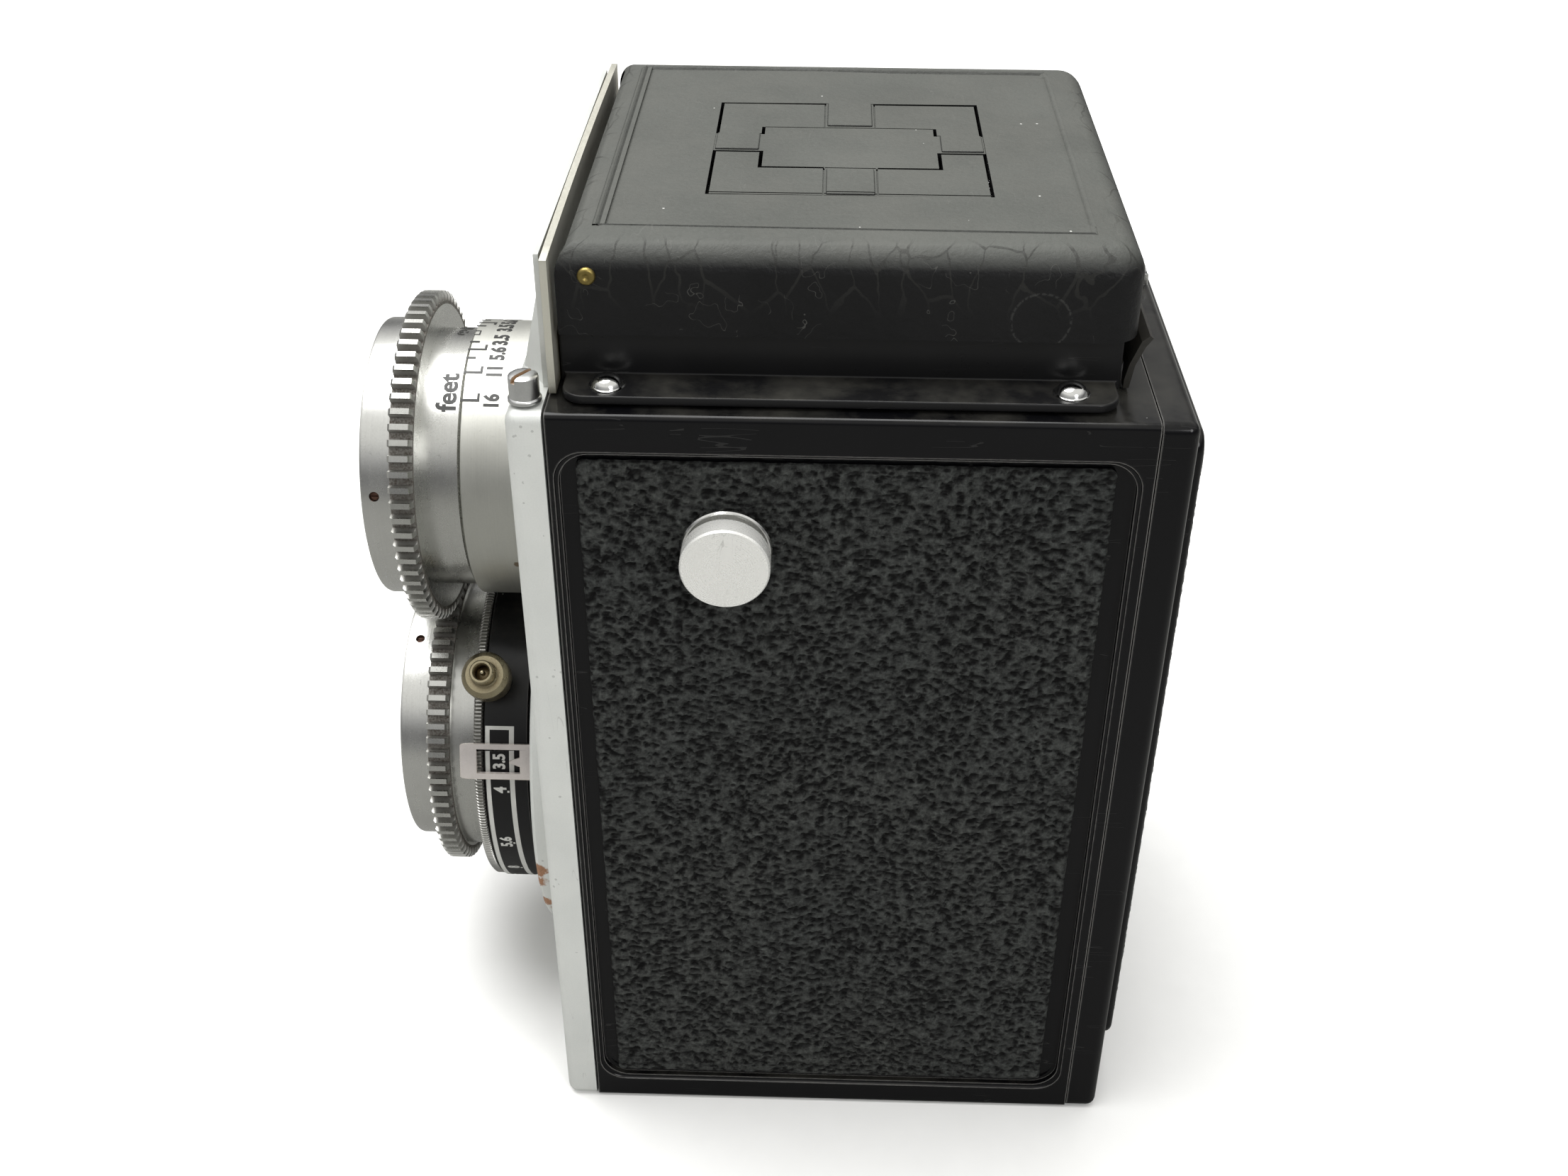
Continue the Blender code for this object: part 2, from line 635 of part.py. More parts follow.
def aperture_pointer():
    """Flat ring behind the shutter case with a window tab bent forward over the aperture scale."""
    pointer = ring("aperture_pointer", 14.2, SHUTTER_R - 0.4, 40.35, 40.85, (0, 0, TAKING_Z), FRONTWARD,
                   bright_chrome, 48)
    half = math.radians(5.9)
    middle = math.radians(TAB_ANGLE)
    steps = [middle + half * (i / 3 - 1) for i in range(7)]
    outer = [(24.9 * math.cos(t), 24.9 * math.sin(t)) for t in steps]
    inner = [(24.3 * math.cos(t), 24.3 * math.sin(t)) for t in reversed(steps)]
    tab = plate("add_pointer_tab", [outer + inner], "y", -50.6, -40.46)
    narrow = [middle + 0.85 * (t - middle) for t in steps]
    rim = [(24.6 * math.cos(t), 24.6 * math.sin(t)) for t in narrow]
    neck = [(22.0 * math.cos(t), 22.0 * math.sin(t)) for t in reversed(narrow)]
    foot = plate("add_pointer_foot", [rim + neck], "y", -40.8, -40.4)
    window = box("cut_pointer_window", (22, 28), (-46.6, -43.2), (-1.5, 1.5))
    window.data.transform(Matrix.Translation((25 * MM, 0, 0)))
    window.location = (0, -44.9 * MM, TAKING_Z * MM)
    window.rotation_euler = (0, -middle, 0)
    for piece in (tab, foot):
        piece.location.z = TAKING_Z * MM
    join(pointer, foot, tab)
    return cut(pointer, window)


def release_lever():
    """Shutter release lever that comes out through the case's slot."""
    angle = math.radians(LEVER_ANGLE)
    lever = box("release_lever", (17.0, 29.0), (-0.4, 0.4), (-1.2, 1.2), bright_chrome)
    pad = box("add_lever_pad", (28.0, 29.4), (-2.4, 0.4), (-2.0, 2.0))
    for piece, middle in ((lever, 23.0), (pad, 28.7)):
        piece.data.transform(Matrix.Translation((middle * MM, (0 if piece is lever else -1.0) * MM, 0)))
        piece.location = (0, -44.8 * MM, TAKING_Z * MM)
        piece.rotation_euler = (0, -angle, 0)
    return join(lever, pad)


def sync_socket():
    """Flash synchronisation socket, a stepped nickel tube standing out of the shutter case."""
    profile = [(0, 28.6), (0.9, 28.6), (0.9, 31.85), (1.55, 31.85), (1.55, 29.6), (2.7, 29.6),
               (3.1, 29.0), (3.1, 26.6), (2.6, 26.2), (2.6, 24.15), (0, 24.15)]
    return turned("sync_socket", profile, (0, -46.0, TAKING_Z), (0, math.radians(90 - SYNC_ANGLE), 0),
                  nickel, 16)


def iris_diaphragm():
    """The diaphragm's leaves at full opening, as one thin ring."""
    return ring("iris_diaphragm", 11.0, 21.8, 41.6, 41.9, (0, 0, TAKING_Z), FRONTWARD, matte_black, 32)


def shutter_blade(number, depth):
    """One of the two blades that close the light path."""
    start = 180.0 * number
    arc = [math.radians(start + 200 * i / 12) for i in range(13)]
    outline = [(13.5 * math.cos(t), 13.5 * math.sin(t)) for t in arc]
    blade = plate("shutter_blade_%d" % (number + 1), [outline], "y", -depth - 0.2, -depth, sprung_steel)
    blade.location.z = TAKING_Z * MM
    return blade


def shutter_retaining_ring():
    """Threaded ring behind the casting that clamps the shutter and holds the rear element."""
    profile = [(10.9, 39.6), (12.8, 39.6), (12.8, 32.4), (15.5, 32.4), (15.5, 30.8), (10.9, 30.8)]
    return turned("shutter_retaining_ring", profile, (0, 0, TAKING_Z), FRONTWARD, nickel, 24, closed=True)


def taking_lens_rear():
    dome = [(10.5 * math.sin(t) / math.sin(0.4), 31.9 - 1.2 * (math.cos(t) - math.cos(0.4)) / (1 - math.cos(0.4)))
            for t in (0.4, 0.2, 0)]
    return turned("taking_lens_rear", [(0, 34.4), (10.5, 34.4)] + dome, (0, 0, TAKING_Z), FRONTWARD,
                  clear_glass, 24)


# ------------------------------------------------------------------ film path

def film_carrier():
    """Removable insert: two cheeks, the film gate and the baffles above and below the light path."""
    cheek = [(-24.0, 4.0), (30.0, 4.0), (30.0, 96.0), (-6.0, 96.0), (-18.0, 98.0),
             (-24.0, 90.0)]
    gate_z = (8.6, 67.8)
    middle = TAKING_Z
    half = FRAME / 2
    carrier = box("film_carrier", (-CHEEK_X[0] - 0.2, CHEEK_X[0] + 0.2), GATE_Y, gate_z, matte_black)
    for side, sign in (("left", 1), ("right", -1)):
        ends = sorted((sign * CHEEK_X[0], sign * CHEEK_X[1]))
        join(carrier, plate("add_cheek_" + side, [cheek], "x", *ends))
    rise = 0.35
    for side, sign in (("upper", 1), ("lower", -1)):
        def line(y, extra):
            return middle + sign * (rise * (y + 50.0) + extra)
        slope = [(-1.0, line(-1.0, 0.7)), (GATE_Y[0] + 0.3, line(GATE_Y[0], 0.7)),
                 (GATE_Y[0] + 0.3, line(GATE_Y[0], 1.3)), (-1.0, line(-1.0, 1.3))]
        join(carrier, plate("add_baffle_" + side, [slope], "x", -CHEEK_X[0] - 0.4, CHEEK_X[0] + 0.4))
    join(carrier, spool_stud("supply_stud_left", LEFTWARD, SUPPLY_Y, SUPPLY_Z),
         spool_stud("supply_stud_right", RIGHTWARD, SUPPLY_Y, SUPPLY_Z),
         spool_stud("takeup_stud", LEFTWARD, TAKEUP_Y, TAKEUP_Z))
    opening = box("cut_film_gate", (-half, half), (GATE_Y[0] - 2, GATE_Y[1] + 2), (middle - half, middle + half))
    cut(carrier, opening)
    pin = solid("cut_carrier_pin", 2.2, 30, 36, (0, KNOB_Y, KNOB_Z), LEFTWARD, steps=16)
    shaft = solid("cut_carrier_shaft", 4.0, -36, -30, (0, TAKEUP_Y, TAKEUP_Z), LEFTWARD, steps=20)
    rollers = [solid("cut_roller_%d" % i, 0.9, -36, 36, (0, ROLLER_Y, z), LEFTWARD, steps=10)
               for i, z in enumerate((ROLLER_TOP_Z, ROLLER_LOW_Z))]
    return cut(carrier, pin, shaft, *rollers)


def film_roller(name, height):
    """Film guide roller with a thin journal at each end."""
    profile = [(0, 33.9), (0.55, 33.9), (0.55, 32.8), (1.2, 32.8), (1.2, -32.8), (0.55, -32.8),
               (0.55, -33.9), (0, -33.9)]
    return turned(name, profile, (0, ROLLER_Y, height), LEFTWARD, bright_chrome, 12)


def spool_stud(name, side, y, z):
    """Stub pressed into a cheek, which a spool's end turns on."""
    return solid("add_" + name, 2.2, 30.9, CHEEK_X[0] + 0.5, (0, y, z), side, None, 16)


def takeup_spool():
    """Empty 120 spool: two flanges on a hollow core."""
    end = SPOOL_HALF
    profile = [(2.8, end), (SPOOL_R, end), (SPOOL_R, end - 1.0), (5.6, end - 1.0),
               (5.6, -end + 1.0), (SPOOL_R, -end + 1.0), (SPOOL_R, -end), (2.8, -end)]
    return turned("takeup_spool", profile, (0, TAKEUP_Y, TAKEUP_Z), LEFTWARD, matte_black, 24, closed=True)


def knob_bush():
    """Chrome ring screwed into the side wall, which guides the carrier's pull knob."""
    profile = [(2.1, 38.6), (4.7, 38.6), (5.05, 38.3), (5.05, 37.6), (3.0, 37.6), (3.0, 34.6), (2.1, 34.6)]
    return turned("knob_bush", profile, (0, KNOB_Y, KNOB_Z), LEFTWARD, bright_chrome, 24, closed=True)


def carrier_knob():
    """Pull knob with the pin that locks the film carrier."""
    profile = [(0, 42.3), (4.6, 42.3), (4.95, 41.95), (4.95, 39.6), (3.4, 39.3), (3.4, 38.9),
               (1.7, 38.9), (1.7, 32.6), (0, 32.6)]
    return turned("carrier_knob", profile, (0, KNOB_Y, KNOB_Z), LEFTWARD, turned_aluminium, 24)


def wind_sleeve():
    """Bush in the side wall that the winding shaft turns in."""
    profile = [(2.6, 39.0), (6.0, 39.0), (6.0, 37.4), (3.9, 37.4), (3.9, 34.6), (2.6, 34.6)]
    return turned("wind_sleeve", profile, (0, TAKEUP_Y, TAKEUP_Z), RIGHTWARD, bright_chrome, 24, closed=True)


def wind_knob():
    """Winding knob and the shaft that keys into the take-up spool."""
    profile = [(0, 46.5), (8.6, 46.5), (9.2, 45.9), (9.2, 39.6), (2.3, 39.6), (2.3, 29.5), (0, 29.5)]
    return turned("wind_knob", profile, (0, TAKEUP_Y, TAKEUP_Z), RIGHTWARD, turned_aluminium, 24)


# ----------------------------------------------------------------------- door

def back_door():
    """Hinged back: a shallow tray with a raised panel and the film window."""
    front = BODY_Y + GAP
    door = box("back_door", (-HALF_W, HALF_W), (front, DOOR_BACK), (0, BODY_H), black_enamel,
               radius=1.3, segments=3, pick=lambda centre, along: centre.y > 0 or along == "y")
    panel = box("add_door_panel", (-32.5, 32.5), (DOOR_BACK - 1, PANEL_BACK), (8.5, 103.5),
                radius=1.0, segments=2, pick=lambda centre, along: centre.y > 0)
    join(door, panel)
    tray = box("cut_door_tray", (-HALF_W + 1.3, HALF_W - 1.3), (front - 2, DOOR_BACK - 1.3), (4.0, BODY_H - 1.3))
    deep = box("cut_door_panel", (-31.0, 31.0), (front - 2, PANEL_BACK - 1.3), (10.0, 102.0))
    pin = solid("cut_door_pin", 0.85, -36.2, 36.2, (0, DOOR_HINGE_Y, DOOR_HINGE_Z), LEFTWARD, steps=12)
    toe = plate("cut_door_toe", [[(front - 1, -1.0), (front + 0.7, -1.0), (front - 1, 1.6)]], "x", -40, 40)
    window = solid("cut_film_window", 4.0, -50, -20, (0, 0, WINDOW_Z), FRONTWARD, steps=24)
    side = box("cut_door_pin_way", (-36.2, 36.2), (DOOR_HINGE_Y - 0.6, DOOR_HINGE_Y + 0.6), (1.0, 6.0))
    return cut(door, tray, deep, toe, window, pin, side)


def door_leather():
    """Grained panel on the door, with a hole for the film window."""
    outline = rounded_rectangle((-30.8, 30.8), (10.4, 101.6), 2.0, 3)
    return plate("door_leather", [outline, circle(0, WINDOW_Z, 4.4)], "y", PANEL_BACK + 0.15,
                 PANEL_BACK + 0.75, black_leather)


def red_window():
    """Red disc that shows the frame number on the film's backing paper."""
    def red(name):
        return surface(name, (0.35, 0.01, 0.01), 0.1)
    return solid("red_window", 3.6, -38.5, -37.7, (0, 0, WINDOW_Z), FRONTWARD, red, 24)


def window_cover():
    """Swinging cover over the film window."""
    arm = [(-5.2, WINDOW_Z)]
    arm += [(5.2 * math.cos(math.radians(180 + 15 * i)), WINDOW_Z + 5.2 * math.sin(math.radians(180 + 15 * i)))
            for i in range(1, 12)]
    arm += [(5.2, WINDOW_Z), (2.2, COVER_Z + 0.4), (1.2, COVER_Z + 2.0), (-1.2, COVER_Z + 2.0), (-2.2, COVER_Z + 0.4)]
    return plate("window_cover", [arm], "y", PANEL_BACK + 1.05, PANEL_BACK + 1.65, bright_chrome)


def pressure_plate():
    """Plate that holds the film flat against the gate."""
    return box("pressure_plate", (-31.0, 31.0), (30.7, 31.4), (9.0, 69.0), sprung_steel,
               radius=2.0, segments=2, pick=lambda centre, along: along == "y")


def pressure_spring():
    """Bowed leaf spring between the door and the pressure plate."""
    count = 8
    def bow(x, offset):
        return 36.9 - 4.2 * math.cos(math.pi * x / 44.0) + offset
    xs = [-22.0 + 44.0 * i / count for i in range(count + 1)]
    outline = [(x, bow(x, 0.0)) for x in xs] + [(x, bow(x, 0.3)) for x in reversed(xs)]
    return plate("pressure_spring", [outline], "z", 33.0, 45.0, sprung_steel)


def door_hinge_pin():
    return solid("door_hinge_pin", 0.5, -35.9, 35.9, (0, DOOR_HINGE_Y, DOOR_HINGE_Z), LEFTWARD,
                 sprung_steel, 12)


def back_latch():
    """Sliding catch on top of the door."""
    return box("back_latch", (-7.0, 2.0), (33.2, 36.0), (BODY_H + GAP, 109.0), bright_chrome,
               radius=0.4, segments=2, pick=lambda centre, along: centre.z > 0)


# ------------------------------------------------------------------- assembly

def build_body():
    body_shell()
    leather_panel("left", 1, (KNOB_Y, KNOB_Z, 5.3))
    leather_panel("right", -1, (TAKEUP_Y, TAKEUP_Z, 6.4))
    front_casting()
    name_plate()
    strap_post("left", 1)
    strap_post("right", -1)
    tripod_bush()


def build_hood():
    hood_base()
    for where, x, y in (("front_left", 32.9, -26.1), ("front_right", -32.9, -26.1),
                        ("rear_left", 33.0, 23.3), ("rear_right", -33.0, 23.3)):
        hood_rivet(where, x, y)
    lid_catch()
    lid_pivot("left", 1)
    lid_pivot("right", -1)
    focusing_screen()
    mirror()
    mirror_frame()
    lid_axis = pivot("lid_axis", (0, PIVOT_Y, PIVOT_Z), hood_lid())
    flap_axis = pivot("flap_axis", (FINDER_X[1], 0, LID_Z[1]), finder_flap())
    magnifier_axis = pivot("magnifier_axis", (0, MAGNIFIER_Y, MAGNIFIER_Z), *magnifier())
    for axis in (flap_axis, magnifier_axis):
        axis.parent = lid_axis
        axis.location = axis.location - lid_axis.location
    pivot("wing_left_axis", (WING_HINGE_X, 0, WING_HINGE_Z), wing("left", 1))
    pivot("wing_right_axis", (-WING_HINGE_X, 0, WING_HINGE_Z), wing("right", -1))
    pivot("rear_panel_axis", (0, REAR_HINGE_Y, REAR_HINGE_Z), hood_rear_panel())


def build_lenses():
    viewing_barrel()
    pivot("viewing_axis", (0, 0, VIEWING_Z), viewing_focus_ring(), lens_rim("viewing_rim", VIEWING_Z),
          front_lens("viewing_lens", VIEWING_Z))
    pivot("taking_axis", (0, 0, TAKING_Z), taking_focus_ring(), lens_rim("taking_rim", TAKING_Z),
          front_lens("taking_lens_front", TAKING_Z))
    shutter_housing()
    speed_ring()
    aperture_pointer()
    release_lever()
    sync_socket()
    iris_diaphragm()
    for number, depth in enumerate((42.6, 43.2)):
        shutter_blade(number, depth)
    shutter_retaining_ring()
    taking_lens_rear()


def build_film_path():
    film_carrier()
    film_roller("film_roller_top", ROLLER_TOP_Z)
    film_roller("film_roller_bottom", ROLLER_LOW_Z)
    takeup_spool()
    knob_bush()
    carrier_knob()
    wind_sleeve()
    wind_knob()


def build_door():
    door_hinge_pin()
    door_axis = pivot("door_axis", (0, DOOR_HINGE_Y, DOOR_HINGE_Z), back_door(), door_leather(), red_window(),
                      pressure_plate(), pressure_spring(), back_latch())
    cover_axis = pivot("cover_axis", (0, PANEL_BACK, COVER_Z), window_cover())
    cover_axis.parent = door_axis
    cover_axis.location = cover_axis.location - door_axis.location


build_body()
build_hood()
build_lenses()
build_film_path()
build_door()
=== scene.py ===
"""Looks of the twin lens reflex camera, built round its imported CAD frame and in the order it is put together."""

import json
import math

import bmesh
import bpy
from mathutils import Matrix, Vector, noise

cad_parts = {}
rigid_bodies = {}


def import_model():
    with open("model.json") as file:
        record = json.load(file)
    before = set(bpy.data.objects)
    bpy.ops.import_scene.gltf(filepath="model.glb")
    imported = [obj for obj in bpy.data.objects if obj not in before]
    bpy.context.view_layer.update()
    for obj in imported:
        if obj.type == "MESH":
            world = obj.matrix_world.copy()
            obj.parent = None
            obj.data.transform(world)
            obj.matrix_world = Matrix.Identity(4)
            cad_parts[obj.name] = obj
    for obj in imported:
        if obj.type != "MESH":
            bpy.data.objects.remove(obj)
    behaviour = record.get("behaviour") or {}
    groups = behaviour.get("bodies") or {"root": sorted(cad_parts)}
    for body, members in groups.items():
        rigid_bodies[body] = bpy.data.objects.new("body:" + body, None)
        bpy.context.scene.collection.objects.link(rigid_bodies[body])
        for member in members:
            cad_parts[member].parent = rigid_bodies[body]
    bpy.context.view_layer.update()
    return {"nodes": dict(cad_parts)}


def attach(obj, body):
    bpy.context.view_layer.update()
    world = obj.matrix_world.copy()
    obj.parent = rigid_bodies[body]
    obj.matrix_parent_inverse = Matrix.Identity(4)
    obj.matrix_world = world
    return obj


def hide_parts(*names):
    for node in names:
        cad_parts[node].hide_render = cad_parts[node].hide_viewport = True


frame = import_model()
nodes = frame["nodes"]
MM = 0.001


# ------------------------------------------------------------------ table, light and view
# The camera stands on a sheet of white paper under a wide soft ceiling light. The room's walls
# are darker than its ceiling, which gives the metal its dark bands.

def wire(tree, kind, inputs=None, **settings):
    """Adds a shader node. An input's value may be a constant or another node's output."""
    made = tree.nodes.new("ShaderNode" + kind)
    for key, value in settings.items():
        setattr(made, key, value)
    for key, value in (inputs or {}).items():
        value = getattr(value, "socket", value)
        if isinstance(value, bpy.types.NodeSocket):
            tree.links.new(value, made.inputs[key])
        else:
            made.inputs[key].default_value = value
    return made


def ramp(tree, factor, stops):
    made = wire(tree, "ValToRGB", {"Fac": factor})
    marks = made.color_ramp.elements
    while len(marks) < len(stops):
        marks.new(0.5)
    for mark, (place, value) in zip(marks, stops):
        mark.position = place
        mark.color = (value, value, value, 1) if isinstance(value, float) else (*value, 1)
    return made.outputs["Color"]


world = bpy.data.worlds.new("room")
bpy.context.scene.world = world
world.use_nodes = True
room = world.node_tree
direction = wire(room, "TexCoord").outputs["Generated"]
height = wire(room, "SeparateXYZ", {"Vector": direction}).outputs["Z"]
share = wire(room, "MapRange", {"Value": height, "From Min": -1.0, "From Max": 1.0}).outputs["Result"]
walls = ramp(room, share, [(0.0, 0.9), (0.5, 0.30), (0.60, 0.14), (0.70, 0.50),
                            (0.82, (1.0, 0.995, 0.965)), (1.0, (1.0, 0.995, 0.965))])
seen = wire(room, "LightPath").outputs["Is Camera Ray"]
shown = wire(room, "Mix", {"Factor": seen, "A": walls, "B": (0.93, 0.93, 0.93, 1)}, data_type="RGBA")
room.links.new(shown.outputs["Result"], room.nodes["Background"].inputs["Color"])
room.nodes["Background"].inputs["Strength"].default_value = 0.95

bpy.ops.mesh.primitive_plane_add(size=5, location=(0, 0, -0.05 * MM))
paper = bpy.context.object
paper.name = "paper"
paper_white = bpy.data.materials.new("paper_white")
paper_white.use_nodes = True
paper_shader = paper_white.node_tree.nodes["Principled BSDF"]
fibres = wire(paper_white.node_tree, "TexNoise", {"Scale": 900.0, "Detail": 4.0}).outputs["Fac"]
tone = ramp(paper_white.node_tree, fibres, [(0.3, (0.86, 0.86, 0.85)), (0.7, (0.88, 0.88, 0.87))])
mirrored = wire(paper_white.node_tree, "LightPath").outputs["Is Glossy Ray"]
shade = wire(paper_white.node_tree, "Mix", {"Factor": mirrored, "A": tone, "B": (0.22, 0.22, 0.21, 1)},
             data_type="RGBA").outputs["Result"]
paper_white.node_tree.links.new(shade, paper_shader.inputs["Base Color"])
paper_shader.inputs["Roughness"].default_value = 0.9
paper.data.materials.append(paper_white)


def lamp(name, place, aim, size, power):
    bpy.ops.object.light_add(type="AREA", location=place)
    made = bpy.context.object
    made.name = name
    made.data.shape = "DISK"
    made.data.size = size
    made.data.energy = power
    made.rotation_euler = (Vector(aim) - Vector(place)).to_track_quat("-Z", "Y").to_euler()
    return made


lamp("ceiling_light", (-0.15, -0.25, 1.1), (0, 0, 0.05), 0.95, 15.0)
lamp("side_light", (0.9, 0.55, 0.75), (0, 0, 0.06), 0.5, 4.0)

bpy.ops.object.camera_add(location=(195.969 * MM, -2.872 * MM, 192.550 * MM),
                          rotation=[math.radians(a) for a in (56.1213, -0.2666, 91.6671)])
camera = bpy.context.object
camera.data.sensor_width = 36.0
camera.data.lens = 39.263
camera.data.clip_start = 0.01
bpy.context.scene.camera = camera
bpy.context.scene.view_settings.view_transform = "Standard"


# ------------------------------------------------------------------ body shell
# A box pressed from sheet steel, open at the front and rear, finished in stove-baked gloss
# black enamel. A shallow panel with a rounded step is pressed into each side for the leather.

def block(name, x, y, z):
    """A box between three pairs of planes, in millimetres."""
    bpy.ops.object.select_all(action="DESELECT")
    middle = [(low + high) / 2 * MM for low, high in (x, y, z)]
    size = [(high - low) * MM for low, high in (x, y, z)]
    bpy.ops.mesh.primitive_cube_add(size=1, location=middle, scale=size)
    made = bpy.context.object
    made.name = name
    bpy.ops.object.transform_apply(location=True, rotation=True, scale=True)
    return made


def centre(part):
    """The middle of a face, edge or vertex, in millimetres."""
    if isinstance(part, bmesh.types.BMFace):
        return part.calc_center_median() / MM
    if isinstance(part, bmesh.types.BMEdge):
        return (part.verts[0].co + part.verts[1].co) / 2 / MM
    return part.co / MM


def choose(kind, test):
    """In edit mode, selects just the verts, edges or faces that test says yes to."""
    shape = bmesh.from_edit_mesh(bpy.context.edit_object.data)
    bpy.ops.mesh.select_mode(type={"verts": "VERT", "edges": "EDGE", "faces": "FACE"}[kind])
    bpy.ops.mesh.select_all(action="DESELECT")
    for part in getattr(shape, kind):
        if test(part):
            part.select_set(True)
    bmesh.update_edit_mesh(bpy.context.edit_object.data)


def take_up(obj):
    """Makes one object the only selected one, and the active one."""
    bpy.ops.object.select_all(action="DESELECT")
    bpy.context.view_layer.objects.active = obj
    obj.select_set(True)


def edit(obj):
    take_up(obj)
    bpy.ops.object.mode_set(mode="EDIT")


def leave():
    bpy.ops.object.mode_set(mode="OBJECT")


def push(x=0.0, y=0.0, z=0.0):
    bpy.ops.transform.translate(value=(x * MM, y * MM, z * MM))


def extrude(x=0.0, y=0.0, z=0.0):
    bpy.ops.mesh.extrude_region_move(TRANSFORM_OT_translate={"value": (x * MM, y * MM, z * MM)})


def round_edges(width, segments):
    bpy.ops.mesh.bevel(offset=width * MM, segments=segments, affect="EDGES")


def apply(obj, kind, **settings):
    """Adds one modifier and applies it."""
    take_up(obj)
    step = obj.modifiers.new(kind.lower(), kind)
    for key, value in settings.items():
        setattr(step, key, value)
    bpy.ops.object.modifier_apply(modifier=step.name)


def soften(obj, width, segments=2, angle=35):
    apply(obj, "BEVEL", width=width * MM, segments=segments, limit_method="ANGLE",
          angle_limit=math.radians(angle), use_clamp_overlap=True)


def combine(obj, tool, operation):
    apply(obj, "BOOLEAN", operation=operation, object=tool, solver="EXACT")
    bpy.data.objects.remove(tool, do_unlink=True)


def cut(obj, x, y, z):
    """Cuts a box between three pairs of planes out of a piece."""
    combine(obj, block("cutter", x, y, z), "DIFFERENCE")


def settle(obj, material, body, slot, *replaced, angle=32):
    """Shades a finished piece, gives it its finish and hangs it on its CAD body."""
    take_up(obj)
    bpy.ops.object.transform_apply(location=True, rotation=True, scale=True)
    bpy.ops.object.shade_smooth_by_angle(angle=math.radians(angle))
    apply(obj, "WEIGHTED_NORMAL", keep_sharp=True)
    if not obj.data.materials:
        obj.data.materials.append(material)
    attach(obj, body)
    if replaced:
        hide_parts(*replaced)
    return obj


shell = block("enamel_shell", (-37.5, 37.5), (-32.45, 32.45), (0, 107.4))
edit(shell)
choose("edges", lambda e: abs(e.verts[0].co.y - e.verts[1].co.y) > 60 * MM)
round_edges(0.8, 4)
leave()
for side in (1, -1):
    ends = sorted((side * 37.5, side * 39.0))
    press = block("press", ends, (-31.85, 31.25), (3.65, 102.95))
    edit(press)
    choose("edges", lambda e: abs(e.verts[0].co.x - e.verts[1].co.x) > 1 * MM)
    round_edges(3.45, 8)
    choose("faces", lambda f: abs(centre(f).x - side * 37.5) < 0.01)
    for inward, deep in ((0.03, 0.12), (0.08, 0.12), (0.14, 0.11), (0.2, 0.05), (0.0, 0.5), (0.06, 0.16),
                         (0.16, 0.10), (0.22, 0.04)):
        extrude(x=-side * deep)
        if inward:
            bpy.ops.mesh.select_more()
            choose("faces", lambda f: abs(f.normal.x) > 0.99 and centre(f).x * side < 38.9)
            bpy.ops.transform.resize(value=(1, 1 - 2 * inward / 62.6, 1 - 2 * inward / 98.6),
                                     center_override=(0, -0.3 * MM, 53.3 * MM))
    bpy.ops.mesh.select_all(action="SELECT")
    bpy.ops.mesh.normals_make_consistent(inside=False)
    leave()
    combine(shell, press, "DIFFERENCE")
cut(shell, (-35.1, 35.1), (-40, 40), (2.4, 105.0))
cut(shell, (-28, 28), (-29.5, 25.5), (100, 110))


class Value:
    """A node's output that can stand in a sum. Each step of the sum adds a Math node."""

    def __init__(self, tree, socket):
        self.tree, self.socket = tree, socket

    def step(self, operation, other=0.0, clamp=False):
        node = wire(self.tree, "Math", {0: self, 1: other}, operation=operation, use_clamp=clamp)
        return Value(self.tree, node.outputs[0])

    def __add__(self, other):
        return self.step("ADD", other)

    def __sub__(self, other):
        return self.step("SUBTRACT", other)

    def __mul__(self, other):
        return self.step("MULTIPLY", other)

    def __lt__(self, other):
        return self.step("LESS_THAN", other)

    def __gt__(self, other):
        return self.step("GREATER_THAN", other)


class Net:
    """A shader tree, with short names for the nodes it is wired from."""

    def __init__(self, tree):
        self.tree = tree

    def out(self, kind, output, inputs=None, **settings):
        return Value(self.tree, wire(self.tree, kind, inputs, **settings).outputs[output])

    def place(self):
        return self.out("TexCoord", "Object")

    def noise(self, scale, detail=2.0, roughness=0.5, place=None):
        inputs = {"Vector": place or self.place(), "Scale": scale, "Detail": detail, "Roughness": roughness}
        return self.out("TexNoise", "Fac", inputs)

    def stretch(self, value, low, high):
        return self.out("MapRange", "Result", {"Value": value, "From Min": low, "From Max": high})

    def vector(self, operation, first, second, output="Vector"):
        return self.out("VectorMath", output, {0: first, 1: second}, operation=operation)

    def split(self, vector, axis):
        return self.out("SeparateXYZ", axis, {"Vector": vector})

    def use(self, group, **inputs):
        node = wire(self.tree, "Group", None, node_tree=group)
        for label, value in inputs.items():
            node.inputs[label.replace("_", " ")].default_value = value
        return {output.name: Value(self.tree, output) for output in node.outputs}

    def mix(self, share, first, second):
        node = wire(self.tree, "Mix", None, data_type="RGBA", clamp_factor=True)
        for index, value in ((0, share), (6, first), (7, second)):
            if isinstance(value, Value):
                self.tree.links.new(value.socket, node.inputs[index])
            else:
                node.inputs[index].default_value = value if index == 0 else (*value, 1)
        return Value(self.tree, node.outputs[2])


